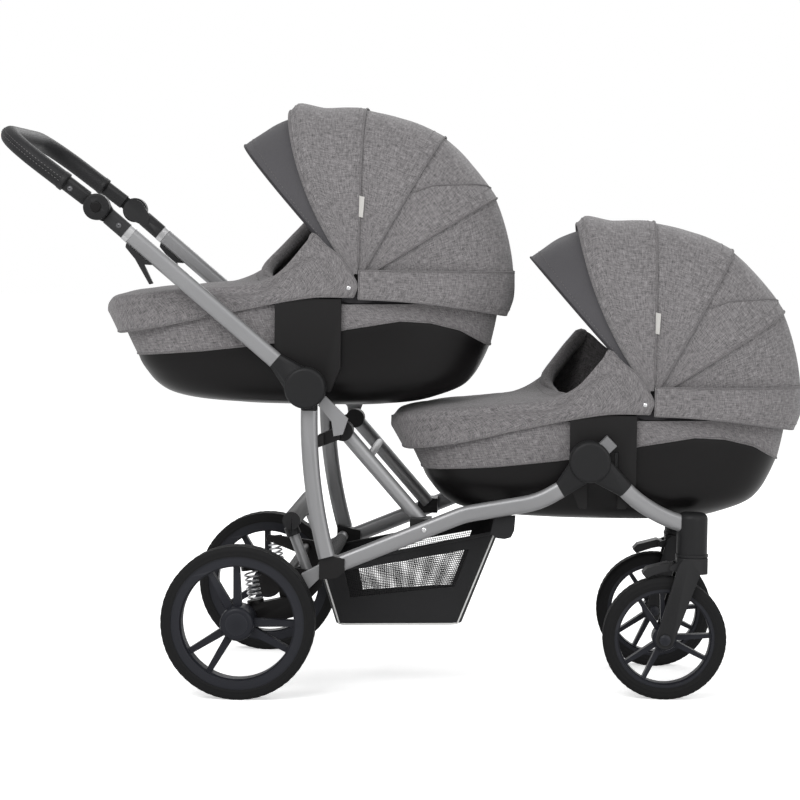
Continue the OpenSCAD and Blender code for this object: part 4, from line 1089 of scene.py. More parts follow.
TOP = ((-292, 730), (-280, 744), (-254, 753), (-194, 762), (5, 780), (160, 790))
BORDER = ((-231, 636), (-88, 649), (50, 666), (180, 693), (292, 712), (349, 709), (406, 695), (461, 663))
RIM = ((-275, 712), (-150, 730), (100, 740), (480, 746))


def height(table, x):
    """Height at x on a line of points."""
    xs, ys = zip(*table)
    return float(np.interp(x, xs, ys))


def apron_width(x):
    """Half width of the apron, which steps out beside the hood."""
    f = ease((x - STEP_X) / STEP_RUN)
    share = max(0, 1 - (abs(x - APRON_MID) / APRON_HALF) ** PLAN_N) ** (1 / PLAN_N)
    return (HALF_W + APRON_OUT) * share * (1 - f) + WING_Y * f


def wing_rise(x):
    """How far the wing stands above the apron at x."""
    return WING_H * max(0, min(1, (x - WING_X) / WING_RUN)) ** WING_POWER


def flop(point, share):
    """The left wing stands a little higher and leans to the foot, as cloth does."""
    x, y, z = point
    lean = wing_rise(x) / WING_H * share
    return (x - FLOP_X * lean, y, z + FLOP_Z * lean)


def stand_up(point, v, s):
    """The left half of the rear edge is rolled up towards the foot."""
    x, y, z = point
    f = ease((s - 0.72) / 0.28)
    return (x + f * np.interp(v, ROLL_V, ROLL_X), y, z + f * np.interp(v, ROLL_V, ROLL_Z))


def apron_row(i):
    """Points of one row, from hem over the top to hem."""
    s = 1 - math.cos(math.radians(90 * (i + NOSE) / (APRON_ROWS + NOSE)))
    walls = []
    for q, end in WALL_END:
        x = APRON_X[0] + (end - APRON_X[0]) * s
        top = height(TOP, x) - WALL_DROP + wing_rise(x)
        tuck = 1 - HEM_TUCK * (1 - s) * (1 - q)
        walls.append((APRON_MID + (x - APRON_MID) * tuck, apron_width(x),
                      height(HEM, x) + (top - height(HEM, x)) * q))
    over = []
    for v, drop in APRON_TOP:
        x = APRON_X[0] + (BACK_X + BACK_REACH * abs(v) ** 3 - APRON_X[0]) * s
        over.append((x, v * apron_width(x), height(TOP, x) + drop + wing_rise(x) * abs(v) ** 6))
    left = [flop(p, q * q) for p, (q, _) in zip(walls, WALL_END)]
    over = [stand_up(p, v, s) for p, (v, _) in zip(over, APRON_TOP)]
    return [(x, -y, z) for x, y, z in walls] + over + left[::-1]


def make_apron(cot):
    """Apron with its skirt, wings, rolled edges and dark lining."""
    body, name = f"{cot}_cot", f"{cot}_cot_apron"
    coarse = [apron_row(i) for i in range(APRON_ROWS + 1)]
    if cot == "front":
        coarse = [[(x, y, z - UNDER_DROP * ease((UNDER_X - x) / UNDER_RUN)) for x, y, z in row]
                  for row in coarse]
    grid = to_metres(smooth_grid(coarse, 5, APRON_FINE), cot)
    normals = -grid_normals(grid)
    wave = cot_sizes().wrinkle
    n, m = grid.shape[:2]
    for i in range(n):
        for k in range(m):
            edge = min(1, i / 6, (n - 1 - i) / 8, k / 6, (m - 1 - k) / 6)
            puff = wave * 0.9 * edge * ripple(grid[i, k] - np.array(COT_STEP[cot]), 0.06)
            grid[i, k] += normals[i, k] * puff
    piece = cloth_panel(name + "_cloth", grid, finish("linen"), finish("lining"), 0.002, flip=True)
    for polygon in piece.data.polygons:
        if all(v >= n * m + (n - FACING) * m for v in polygon.vertices):
            polygon.material_index = 0
    put_on(piece, body, "linen", name)
    hem = np.concatenate([grid[::-1, 0], grid[0, 1:-1], grid[:, -1]])
    wall = (len(WALL_END) - 1) * APRON_FINE
    ends = (slice(None, wall + 1), slice(-wall - 1, None))
    backs = [grid[-1, end] - normals[-1, end] * 0.0008 for end in ends]
    put_on(tubes_piece(name + "_hem", [hem, *backs], 0.0017, finish("linen_trim")), body, "linen")
    edge = grid[-1, wall:m - wall] - normals[-1, wall:m - wall] * 0.001
    thick = np.array([ROLL_R + ROLL_GROW * ease((f - 0.5) / 0.15) * ease((1.02 - f) / 0.1)
                      for f in np.linspace(0, 1, len(edge))])
    put_on(tubes_piece(name + "_roll", [edge], thick, finish("linen"), 14), body, "linen")
    seams = ((slice(2, -2), 1), (slice(2, -2), -2), (-4, slice(2, wall)), (-4, slice(-wall, -2)),
             (-4, slice(wall + 4, m - wall - 4)), (slice(30, -3), wall - 5), (slice(30, -3), 4 - wall))
    places = []
    for seam in seams:
        path = grid[seam] + normals[seam] * STITCH_LIFT
        places += stitches_on(path, normals[seam], cot_sizes().stitch * STITCH_GAP)
    sew(name + "_stitches", places, body, "linen")


# Tub, band, liner and mattress
TUB_TOP, TUB_UPPER, TUB_WALL = (-231, 461, HALF_W - 3), (-224, 448, 181), 4.0
BAND_LOW, BAND_HIGH = (-232, 462, HALF_W - 2), (-268, 478, HALF_W)
BAND_STEPS, BAND_WALL, BAND_PUFF, BAND_MID = 8, 6, 1.2, 105
LINER_INSET, LINER_WALL, LINER_FOOT, LINER_CLEAR = 8.0, 1.6, 16, 3.4
LINER_BLEND, LINER_STOP, LINER_FADE, LINER_LOW = 14, 190, 24, 0.35
TUB_LEVELS = ((-213, 431, 177, 604), (-193, 407, 168, 581), (-163, 363, 154, 563),
              (-113, 322, 134, 552), (-33, 262, 92, 545))


def plan_ring(x0, x1, w, inset=0, count=144):
    """Outline of the cot from above, drawn in by the inset."""
    mid, half = (x0 + x1) / 2, (x1 - x0) / 2 - inset
    ring = []
    for k in range(count):
        a = 2 * math.pi * (k + 0.5) / count
        ring.append((mid + half * squash(math.cos(a), PLAN_N), (w - inset) * squash(math.sin(a), PLAN_N)))
    return ring


def loft_piece(name, rings, material, capped=True, smooth_angle=50):
    """A closed skin through rings of points in metres."""
    g = np.asarray(rings, dtype=float)
    n, m, _ = g.shape
    faces = grid_faces(n, m, True)
    if capped:
        faces += [tuple(range(m)), tuple(range((n - 1) * m, n * m))]
    else:
        faces += [((n - 1) * m + k, (n - 1) * m + (k + 1) % m, (k + 1) % m, k) for k in range(m)]
    uv = grid_lengths(g).reshape(-1, 2)
    return outward(make_piece(name, g.reshape(-1, 3), faces, material, uv, smooth_angle))


def make_tub(cot):
    """Moulded tub with a rounded floor."""
    top = [(x, y, height(BORDER, x)) for x, y in plan_ring(*TUB_TOP)]
    shoulder = TUB_LEVELS[0][3]
    upper = [(x, y, (z + shoulder) * 0.5) for (x, y), (_, _, z) in zip(plan_ring(*TUB_UPPER), top)]
    outer = [top, upper]
    inner = [[(x, y, height(BORDER, x)) for x, y in plan_ring(*TUB_TOP, TUB_WALL)]]
    for x0, x1, w, z in TUB_LEVELS:
        outer.append([(x, y, z) for x, y in plan_ring(x0, x1, w)])
        inner.append([(x, y, z + TUB_WALL) for x, y in plan_ring(x0, x1, w, TUB_WALL)])
    outer, inner = catmull(outer, 5), catmull(inner, 4)
    rings = to_metres(np.concatenate([outer[::-1], inner]), cot)
    piece = loft_piece(f"{cot}_cot_tub_shell", rings, finish("tub"), smooth_angle=60)
    put_on(piece, f"{cot}_cot", "black_plastic", f"{cot}_cot_tub")


def make_band(cot):
    """Padded linen band between the tub and the rim, piped along its lower edge."""
    body, name = f"{cot}_cot", f"{cot}_cot_band"

    def ring(u, inset, puff):
        pts = []
        lows, highs = plan_ring(*BAND_LOW, inset), plan_ring(*BAND_HIGH, inset)
        for (x0, y0), (x1, y1) in zip(lows, highs):
            z0, z1 = height(BORDER, x0), height(RIM, x1)
            x, y, z = x0 + (x1 - x0) * u, y0 + (y1 - y0) * u, z0 + (z1 - z0) * u
            span = math.hypot(x - BAND_MID, y)
            pts.append((x + (x - BAND_MID) / span * puff, y + y / span * puff * 0.25, z))
        return pts

    shares = [i / BAND_STEPS for i in range(BAND_STEPS + 1)]
    outer = [ring(u, 0, BAND_PUFF * math.sin(math.pi * u)) for u in shares]
    inner = [ring(u, BAND_WALL, 0) for u in shares[::-1]]
    rings = to_metres(outer + inner, cot)
    put_on(loft_piece(name + "_cloth", rings, finish("linen"), capped=False), body, "linen", name)
    pipe = tubes_piece(name + "_piping", [rings[0]], 0.0019, finish("linen_trim"), closed=True)
    put_on(pipe, body, "linen")


LINER = ((-16, 0.0), (2, 0.0), (10, 0.3), (17, 0.75), (23, 1.0))


def make_liner(cot):
    """Dark liner that stands up inside the band and meets the apron and the hood."""

    def ring(rise, out, inset):
        pts = []
        for x, y in plan_ring(*BAND_HIGH, inset):
            rim = height(RIM, x)
            need = ease((height(HEM, x) - rim + LINER_BLEND) / LINER_BLEND)
            fade = 1 - ease((x - LINER_STOP) / LINER_FADE)
            reach = max(0, apron_width(x) - LINER_CLEAR - abs(y)) * out * need * fade
            z = rim - LINER_FOOT + (rise + LINER_FOOT) * (LINER_LOW + (1 - LINER_LOW) * need)
            pts.append((x, y + math.copysign(reach, y), z))
        return pts

    outer = [ring(rise, out, LINER_INSET) for rise, out in LINER]
    inner = []
    for rise, out in LINER:
        row = ring(rise, out, LINER_INSET + LINER_WALL)
        inner.append([(x, y - math.copysign(LINER_WALL * out, y), z) for x, y, z in row])
    rings = to_metres(outer + inner[::-1], cot)
    piece = loft_piece(f"{cot}_cot_liner", rings, finish("lining"), capped=False)
    put_on(piece, f"{cot}_cot", "linen")


MATTRESS_MESH = {}
PAD_INSET, PAD_FLOOR, PAD_THICK, PAD_SHRINK, PAD_PIPE = 14.5, 3.0, 40.0, 3.0, 11.5
PAD_ROWS = ((0.985, 0.0), (1.0, 0.12), (1.0, 0.88), (0.985, 1.0))


def mattress_mesh():
    """Mesh of the rear mattress, swelled the first time it is asked for."""
    if "rear" not in MATTRESS_MESH:
        x0, x1, w, z = TUB_LEVELS[2]
        mid = (x0 + x1) / 2
        rings = []
        for f, h in PAD_ROWS:
            lift = z + PAD_FLOOR + PAD_SHRINK + (PAD_THICK - 2 * PAD_SHRINK) * h
            ring = plan_ring(x0, x1, w, PAD_INSET, 96)
            rings.append([(mid + (x - mid) * f, y * f, lift) for x, y in ring])
        piece = loft_piece("mattress_form", to_metres(rings, "rear"), finish("mattress"))
        swell(piece, 0.006, 0.005)
        MATTRESS_MESH["rear"] = piece.data
        bpy.data.objects.remove(piece)
    return MATTRESS_MESH["rear"]


def make_mattress(cot):
    """Mattress, swelled by a cloth simulation and piped round its edge."""
    mesh = mattress_mesh().copy()
    mesh.transform(Matrix.Translation(COT_STEP[cot]))
    made = new_object(f"{cot}_cot_mattress_pad", mesh)
    put_on(made, f"{cot}_cot", "mattress_cloth", f"{cot}_cot_mattress")
    x0, x1, w, z = TUB_LEVELS[2]
    middle = z + PAD_FLOOR + PAD_THICK * 0.5
    path = to_metres([(x, y, middle) for x, y in plan_ring(x0, x1, w, PAD_PIPE, 120)], cot)
    pipe = tubes_piece(f"{cot}_mattress_piping", [path], 0.002, finish("mattress"), closed=True)
    put_on(pipe, f"{cot}_cot", "mattress_cloth")


SWELL_FORCE, SWELL_FRAMES = 4.0, 20


def swell(piece, voxel, cap):
    """Remeshes a pad and blows it up as cloth, no point further than the cap."""
    remesh = piece.modifiers.new("remesh", "REMESH")
    remesh.mode = "VOXEL"
    remesh.voxel_size = voxel
    remesh.use_smooth_shade = True
    apply_modifiers(piece)
    start = np.zeros(len(piece.data.vertices) * 3)
    piece.data.vertices.foreach_get("co", start)
    cloth = piece.modifiers.new("cloth", "CLOTH")
    cloth.settings.use_pressure = True
    cloth.settings.uniform_pressure_force = SWELL_FORCE
    cloth.settings.effector_weights.gravity = 0.0
    cloth.point_cache.frame_end = SWELL_FRAMES
    scene = bpy.context.scene
    for step in range(1, SWELL_FRAMES + 1):
        scene.frame_set(step)
    apply_modifiers(piece)
    scene.frame_set(1)
    end = np.zeros(len(start))
    piece.data.vertices.foreach_get("co", end)
    move = (end - start).reshape(-1, 3)
    length = np.linalg.norm(move, axis=1, keepdims=True)
    move *= np.minimum(1, cap / np.maximum(length, 1e-9))
    piece.data.vertices.foreach_set("co", (start.reshape(-1, 3) + move).ravel())
    bm = bmesh.new()
    bm.from_mesh(piece.data)
    uv = bm.loops.layers.uv.new("UVMap")
    for face in bm.faces:
        face.smooth = True
        for loop in face.loops:
            loop[uv].uv = (loop.vert.co.x, loop.vert.co.y + loop.vert.co.z)
    bm.to_mesh(piece.data)
    bm.free()
    piece.data.materials.clear()
    piece.data.materials.append(finish("mattress"))


# Basket
BASKET_LOW = (172, 416, 122, 128, 136)
BASKET_TOP = (138, 485.8, 234, 310, 152)
CORNER_STEPS, SIDE_STEPS = 6, 14
WINDOWS = ((CORNER_STEPS + 1, CORNER_STEPS + SIDE_STEPS - 1, 3, 12),
           (3 * CORNER_STEPS + 2 * SIDE_STEPS + 1, 3 * CORNER_STEPS + 3 * SIDE_STEPS - 1, 6, 12))
NET_PITCH, NET_R = 0.0036, 0.00058
BASKET_STEPS, BASKET_WALL, BASKET_PUFF, BASKET_CORNER = 14, 2.0, 2.5, 26.0
FLOOR_X, FLOOR_Z, FLOOR_SAG = 294, 125, 2.0
CROSS_TUBES = ((160, 250, 146), (497, 320, 200))
TAB = ((470, 314), (482, 305), (497, 303.5), (509, 307), (515, 320), (517, 349.5), (500, 347.5), (476, 343))
TAB_MID = (495, 327)
TAB_ROWS = ((212.6, 0.9), (212.6, 0.98), (212.2, 1.0), (210.8, 1.0), (210.6, 0.98), (210.6, 0.9))


def basket_ring(u, inset=0.0, puff=0.0):
    """Outline of the basket at a share u of its height, in mm."""
    x0, x1, z0, z1, w = (a + (b - a) * u for a, b in zip(BASKET_LOW, BASKET_TOP))
    r = BASKET_CORNER
    ring = []
    for sx, sy, start in ((1, 1, 0), (-1, 1, 90), (-1, -1, 180), (1, -1, 270)):
        cx = x1 - inset - r if sx > 0 else x0 + inset + r
        cy = sy * (w - inset - r)
        for j in range(CORNER_STEPS + 1):
            a = math.radians(start + 90 * j / CORNER_STEPS)
            ring.append((cx + r * math.cos(a), cy + r * math.sin(a)))
        nx = x0 + inset + r if sy > 0 else x1 - inset - r
        far = (nx, cy + sy * r) if sx * sy > 0 else (cx + sx * r, -cy)
        last = ring[-1]
        for j in range(1, SIDE_STEPS):
            f = j / SIDE_STEPS
            ring.append((last[0] + (far[0] - last[0]) * f, last[1] + (far[1] - last[1]) * f))
    out = []
    for x, y in ring:
        mid = (x0 + x1) / 2
        d = math.hypot(x - mid, y)
        bow = puff * math.cos(math.pi * (x - mid) / (x1 - x0)) * math.cos(math.pi * y / (2.2 * w))
        out.append((x + (x - mid) / d * bow, y + y / d * bow, z0 + (z1 - z0) * (x - x0) / (x1 - x0)))
    return out


def make_basket():
    """Cloth basket with net windows, a solid lower panel, white piping and tube loops."""
    steps, wall = BASKET_STEPS, BASKET_WALL
    puffs = [BASKET_PUFF * math.sin(math.pi * i / steps) for i in range(steps + 1)]
    outer = [basket_ring(i / steps, 0, puffs[i]) for i in range(steps + 1)]
    inner = [basket_ring(i / steps, wall, puffs[i]) for i in range(steps, -1, -1)]
    inner[-1] = [(x, y, z + wall) for x, y, z in inner[-1]]
    floor = []
    for f in (0.06, 0.3, 0.6, 0.85):
        sag = -FLOOR_SAG * (1 - f * f)
        floor.append([(FLOOR_X + (x - FLOOR_X) * f, y * f, FLOOR_Z + (z - FLOOR_Z) * f + sag)
                      for x, y, z in outer[0]])
    lining = [[(x, y, z + wall) for x, y, z in row] for row in floor[::-1]]
    rings = to_metres(floor + outer + inner + lining, "rear")
    piece = windowed_basket(rings, len(floor), steps)
    put_on(piece, "chassis", "basket_cloth", "basket")
    make_net(rings, len(floor), steps)
    top = tubes_piece("basket_binding", [rings[len(floor) + steps]], 0.0032, finish("basket"), closed=True)
    put_on(top, "chassis", "basket_cloth")
    quarter = CORNER_STEPS + SIDE_STEPS
    wall_rows = rings[len(floor):len(floor) + steps + 1]
    seams = []
    for side in (0, 1):
        k0 = side * 2 * quarter + CORNER_STEPS // 2
        k1 = k0 + quarter
        path = np.concatenate([wall_rows[::-1, k0], wall_rows[0, k0 + 1:k1], wall_rows[:, k1]])
        path[:, 1] += np.sign(path[:, 1]) * 0.0012
        seams.append(path)
    put_on(tubes_piece("basket_piping", seams, 0.0017, finish("piping")), "chassis", "basket_cloth")
    make_loops()


def windowed_basket(rings, first, steps):
    """The basket's double wall with an open window in each long side."""
    n, m = rings.shape[:2]
    inside = {2 * steps + 1 - i: i for i in range(steps + 1)}

    def row_in_wall(r):
        return r if r <= steps else inside.get(r, -1)

    def in_window(r, k):
        a, b = sorted((row_in_wall(r - first), row_in_wall(r + 1 - first)))
        return b - a == 1 and any(c0 <= k < c1 and low <= a and b <= high for c0, c1, low, high in WINDOWS)

    faces = []
    for r in range(n - 1):
        for k in range(m):
            if not in_window(r, k):
                faces.append((r * m + k, (r + 1) * m + k, (r + 1) * m + (k + 1) % m, r * m + (k + 1) % m))
    for c0, c1, low, high in WINDOWS:
        edges = [((low, k), (low, k + 1)) for k in range(c0, c1)]
        edges += [((high, k + 1), (high, k)) for k in range(c0, c1)]
        edges += [((i + 1, c0), (i, c0)) for i in range(low, high)]
        edges += [((i, c1), (i + 1, c1)) for i in range(low, high)]
        for (i, k), (j, h) in edges:
            out_a, out_b = (first + i) * m + k, (first + j) * m + h
            in_a, in_b = (first + 2 * steps + 1 - i) * m + k, (first + 2 * steps + 1 - j) * m + h
            faces.append((out_a, out_b, in_b, in_a))
    faces += [tuple(range(m)), tuple(range((n - 1) * m, n * m))]
    uv = grid_lengths(rings).reshape(-1, 2)
    return outward(make_piece("basket_cloth", rings.reshape(-1, 3), faces, finish("basket"), uv, 50))


def make_net(rings, first, steps):
    """Knotless net in the two windows, one thin tube for each thread."""
    outer, inner = rings[first:first + steps + 1], rings[first + 2 * steps + 1:first + steps:-1]
    middle = (outer + inner) / 2
    threads = []
    for c0, c1, low, high in WINDOWS:
        wall = middle[low:high + 1, c0:c1 + 1]
        rise = np.linalg.norm(wall[-1] - wall[0], axis=1).mean()
        reach = np.linalg.norm(wall[:, -1] - wall[:, 0], axis=1).mean()
        for f in np.linspace(0, 1, int(reach / NET_PITCH) + 1)[1:-1] * (c1 - c0):
            k, part = int(f), f - int(f)
            threads.append(wall[:, k] * (1 - part) + wall[:, k + 1] * part)
        for f in np.linspace(0, 1, int(rise / NET_PITCH) + 1)[1:-1] * (high - low):
            i, part = int(f), f - int(f)
            threads.append(wall[i] * (1 - part) + wall[i + 1] * part)
    put_on(tubes_piece("basket_net", threads, NET_R, finish("net"), 4), "chassis", "basket_cloth")


def turned_rows(x, z, outline, count):
    """Rows of points round an axle at (x, z), from (y, radius) pairs in mm."""
    return [[(x + r * math.cos(a), y, z + r * math.sin(a)) for a in turn_angles(count)] for y, r in outline]


def make_loops():
    """Cloth sleeves round the two cross tubes, and tabs over the front hangers."""
    loops = []
    for x, z, half in CROSS_TUBES:
        outline = ((-half, 11.6), (-half + 0.6, 12.4), (half - 0.6, 12.4), (half, 11.6), (half, 11.2),
                   (-half, 11.2))
        rows = turned_rows(x, z, outline, 36)
        loops.append(loft_piece(f"loop_{x}", to_metres(rows, "rear"), finish("basket"), capped=False))
    for sign in (-1, 1):
        rows = []
        for y, f in TAB_ROWS:
            rows.append([(TAB_MID[0] + (x - TAB_MID[0]) * f, sign * y, TAB_MID[1] + (z - TAB_MID[1]) * f)
                         for x, z in TAB])
        loops.append(loft_piece(f"tab_{sign}", to_metres(rows, "rear"), finish("basket")))
    put_on(join_pieces("basket_loops", loops), "chassis", "basket_cloth")


# Wheels
GROOVE, BEAD, WALL_LINE, SHOULDER_CUT, TYRE_STEPS = 1.6, 0.5, 0.7, 0.45, 168
WHEEL_SIZES = (("rear", 0, REAR_TRACK, REAR_R, REAR_TYRE_W, 19),
               ("front", WHEELBASE, FRONT_TRACK, FRONT_R, FRONT_TYRE_W, 22))
REAR_CAP_Y, REAR_CAP = 33, ((-1.0, 21.0), (0.4, 20.6), (0.9, 19.0), (0.9, 3.0))
FRONT_CAP_Y, FRONT_CAP = 36.5, ((-3.0, 10.5), (1.0, 10.5), (3.0, 8.0), (3.4, 2.0))


def make_tyre(name, x, y, r, w, seat, body):
    """Foam tyre with two tread grooves, cut shoulders and a bead on each wall."""
    core, bulge, rows = r - 14, w / 2 + 1, []
    for a in np.linspace(-112, 112, 57):
        ra = math.radians(a)
        q, h = core + bulge * math.cos(ra), bulge * math.sin(ra)
        q, h = min(q, r), max(-w / 2, min(w / 2, h))
        if q >= r - 2 and abs(abs(h) - w * 0.16) < 1.3:
            q -= GROOVE
        if abs(q - (core - 2)) < 1.6 and abs(h) > w * 0.4:
            h += math.copysign(BEAD, h)
        if abs(q - (core + 5)) < 1.2 and abs(h) > w * 0.3:
            q -= WALL_LINE
        if q > seat:
            rows.append((q, h))
    rows = [(seat, rows[0][1])] + rows + [(seat, rows[-1][1])]
    points = []
    for q, h in rows:
        ring = []
        for k in range(TYRE_STEPS):
            a = 2 * math.pi * k / TYRE_STEPS
            cut = SHOULDER_CUT if (k % 3 == 0 and q > r - 4 and abs(h) > w * 0.2) else 0.0
            ring.append((x + (q - cut) * math.cos(a), y + h, r + (q - cut) * math.sin(a)))
        points.append(ring)
    rings = to_metres(points, "rear")
    piece = loft_piece(name + "_skin", rings, finish("rubber"), capped=False, smooth_angle=45)
    put_on(piece, body, "tyre", name)


def make_wheels():
    """Tyres, rims and the hub caps."""
    edge = trim_sizes().edge
    for side, sign in SIDES:
        for end, x, track, r, w, depth in WHEEL_SIZES:
            make_tyre(f"{end}_tyre_{side}", x, sign * track / 2, r, w, r - depth, f"{end}_wheel_{side}")
        for end in ("rear", "front"):
            name = f"{end}_rim_{side}"
            put_on(dressed_copy(name, finish("rim"), edge), f"{end}_wheel_{side}", "rim", name)
        face = sign * (REAR_TRACK / 2 + REAR_CAP_Y)
        turn_cap(f"rear_cap_{side}", 0, face, sign, REAR_R, REAR_CAP, f"rear_wheel_{side}")
        for inner in (-1, 1):
            face = sign * FRONT_TRACK / 2 + inner * FRONT_CAP_Y
            name = f"front_cap_{side}{inner}"
            turn_cap(name, WHEELBASE, face, inner, FRONT_R, FRONT_CAP, f"caster_{side}")


def turn_cap(name, x, face, outwards, z, outline, body):
    """A small turned cap on the wheel's face, from (height, radius) pairs."""
    rows = turned_rows(x, z, [(face + outwards * h, r) for h, r in outline], 40)
    put_on(loft_piece(name, to_metres(rows, "rear"), finish("rim"), smooth_angle=35), body, "rim")


# Rear springs
SPRING_LOW, SPRING_HIGH, SPRING_Y = Vector((26, 180)), Vector((16, 234)), 221
WIRE, WIRE_GAP, COIL_R, COIL_STEPS = 1.8, 0.4, 12.2, 28


def make_springs():
    """Two wound springs, fixed to the chassis."""
    low, high = SPRING_LOW, SPRING_HIGH
    axis = (high - low).normalized()
    turns, steps = trim_sizes().coil_turns, COIL_STEPS * trim_sizes().coil_turns
    length = (high - low).length - 2 * (WIRE + WIRE_GAP)
    for side, sign in SIDES:
        path = []
        for i in range(steps + 1):
            a = 2 * math.pi * turns * i / steps
            centre = low + axis * (WIRE + WIRE_GAP + length * i / steps)
            out = COIL_R * math.cos(a)
            path.append((centre[0] + out * axis[1], sign * (SPRING_Y + COIL_R * math.sin(a)),
                         centre[1] - out * axis[0]))
        coil = [to_metres(path, "rear")]
        piece = tubes_piece(f"coil_spring_{side}", coil, WIRE / 1000, finish("steel"), 10)
        put_on(piece, "chassis", "spring_steel", "coil_springs")
        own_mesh(piece)


# Handle
GRIP_GAP, GRIP_UNDER = 1.6, 0.0002
COLLAR_RUN = (-0.004, -0.0035, 0.0, 0.006, 0.0065)
COLLAR_R = (0.0172, 0.0186, 0.0188, 0.0186, 0.0176)


def handle_path(steps=14):
    """Middle line of the grip and its outward direction, in metres."""
    def spot(along, y):
        p = DISC + HANDLE_DIR * along
        return at(p[0], y, p[1])

    line, out = [], []
    back = Vector((HANDLE_DIR[0], 0, HANDLE_DIR[1]))
    r, reach = HANDLE_BEND, HANDLE_LEN
    for i in range(steps):
        line.append(spot(GRIP_START + (reach - r - GRIP_START) * i / steps, -ARM_Y))
        out.append(Vector((0, -1, 0)))
    for i in range(steps + 1):
        a = math.pi / 2 * i / steps
        line.append(spot(reach - r + r * math.sin(a), -ARM_Y + r - r * math.cos(a)))
        out.append(back * math.sin(a) + Vector((0, -1, 0)) * math.cos(a))
    half = len(line)
    for i in range(1, 2 * steps):
        y = (-ARM_Y + r) + 2 * (ARM_Y - r) * i / (2 * steps)
        line.append(spot(reach, y))
        out.append(back.copy())
    mirror = Matrix.Diagonal((1, -1, 1))
    for p, n in zip(line[half - 1::-1], out[half - 1::-1]):
        line.append(mirror @ p)
        out.append(mirror @ n)
    return np.array([tuple(p) for p in line]), np.array([tuple(n) for n in out])


def make_handle():
    """Stitched leatherette grip with end collars."""
    line, out = handle_path()
    r = GRIP_R / 1000
    grip = tubes_piece("handle_grip_sleeve", [line], r - GRIP_UNDER, finish("leather"), 28)
    put_on(grip, "handle", "grip", "handle_grip")
    seam = line + out * (r - GRIP_UNDER)
    put_on(tubes_piece("handle_seam", [seam[1:-1]], 0.0009, finish("leather")), "handle", "grip")
    up = np.cross(np.gradient(line, axis=0), out)
    up /= np.linalg.norm(up, axis=1, keepdims=True)
    places = []
    for tilt in (-0.2, 0.2):
        facing = out * math.cos(tilt) + up * math.sin(tilt)
        path = line[1:-1] + facing[1:-1] * (r + 0.0001)
        places += stitches_on(path, facing[1:-1], cot_sizes().stitch * GRIP_GAP)
    sew("handle_stitches", places, "handle", "grip")
    collars = []
    for end, step in ((0, 1), (-1, -1)):
        ahead = line[end + step] - line[end]
        ahead /= np.linalg.norm(ahead)
        collars.append([line[end] + ahead * d for d in COLLAR_RUN])
    rings = tubes_piece("handle_collars", collars, np.array(COLLAR_R), finish("charcoal"), 28)
    put_on(rings, "handle", "charcoal_plastic")


# Rigid pieces that keep the solids' shapes
SOLID_FINISH = {
    "metal": ("frame_metal", (
        "rear_legs", "lower_tubes", "strut_frame", "front_tubes", "push_arms", "brake_arms", "handle_tube",
        "steel_brackets")),
    "black": ("black_plastic", (
        "strut_clamps", "rear_axle", "swing_arm_left", "swing_arm_right", "rear_cot_adapters",
        "front_cot_adapters", "tilt_button_left", "tilt_button_right")),
    "charcoal": ("charcoal_plastic", (
        "leg_pods", "front_pods", "caster_heads", "arm_pods", "handle_sockets", "handle_discs",
        "trigger_left", "trigger_right", "fork_left", "fork_right", "lock_lever_left", "lock_lever_right",
        "brake_bar")),
    "grey": ("grey_plastic", ("release_button_left", "release_button_right")),
}
SHARP_SOLIDS = ("handle_tube", "rear_legs", "lower_tubes", "front_tubes", "push_arms", "strut_frame")


def make_solids(kind):
    """Solids of one finish with their edges rounded."""
    slot, nodes = SOLID_FINISH[kind]
    body_of = {n: b for b, ns in frame["record"]["behaviour"]["bodies"].items() for n in ns}
    edge = trim_sizes().edge
    for name in nodes:
        width = None if name in SHARP_SOLIDS else edge
        put_on(dressed_copy(name, finish(kind), width), body_of[name], slot, name)


SLEEVE_BACK, SLEEVE_GROW, SLEEVE_LEN = 13, 0.7, 12.5


def oval_ring(centre, direction, y, grow, length):
    """Rings of a flat-oval sleeve round a tube of the side view, in mm."""
    up = Vector((-direction[1], direction[0]))
    outline = ((0, grow - 0.6), (0.6, grow), (length - 0.6, grow), (length, grow - 0.6), (length, -0.4),
               (0, -0.4))
    rows = []
    for d, g in outline:
        row = []
        for k in range(40):
            a = 2 * math.pi * k / 40
            across = (TUBE_W / 2 + g) * math.cos(a)
            rise = (TUBE_W / 2 + g) * math.sin(a) + math.copysign((TUBE_H - TUBE_W) / 2, math.sin(a))
            p = centre + direction * d + up * rise
            row.append((p[0], y + across, p[1]))
        rows.append(row)
    return rows


def make_sleeves():
    """Bright sleeves on the push arms below the handle sockets."""
    sleeves = []
    for side, sign in SIDES:
        start = POD + ARM_DIR * (ARM_END - SLEEVE_BACK)
        rings = to_metres(oval_ring(start, ARM_DIR, sign * ARM_Y, SLEEVE_GROW, SLEEVE_LEN), "rear")
        sleeves.append(loft_piece(f"sleeve_{side}", rings, finish("collar"), capped=False, smooth_angle=35))
    put_on(join_pieces("arm_sleeves", sleeves), "push_arms", "frame_metal")


FASTENERS = (
    ("push_arms", "screw", (-239, -221, 885), 1.0, "screw", "charcoal_plastic"),
    ("handle", "screw", (-332, -221, 953), 1.0, "screw", "charcoal_plastic"),
    ("chassis", "rivet", (345, -230, 320), 1.25, "bright", "frame_metal"),
)
FASTENER_TURN = Vector((1, 0, 0.2))
SNAP, SNAP_R = (195, 773), 0.0046


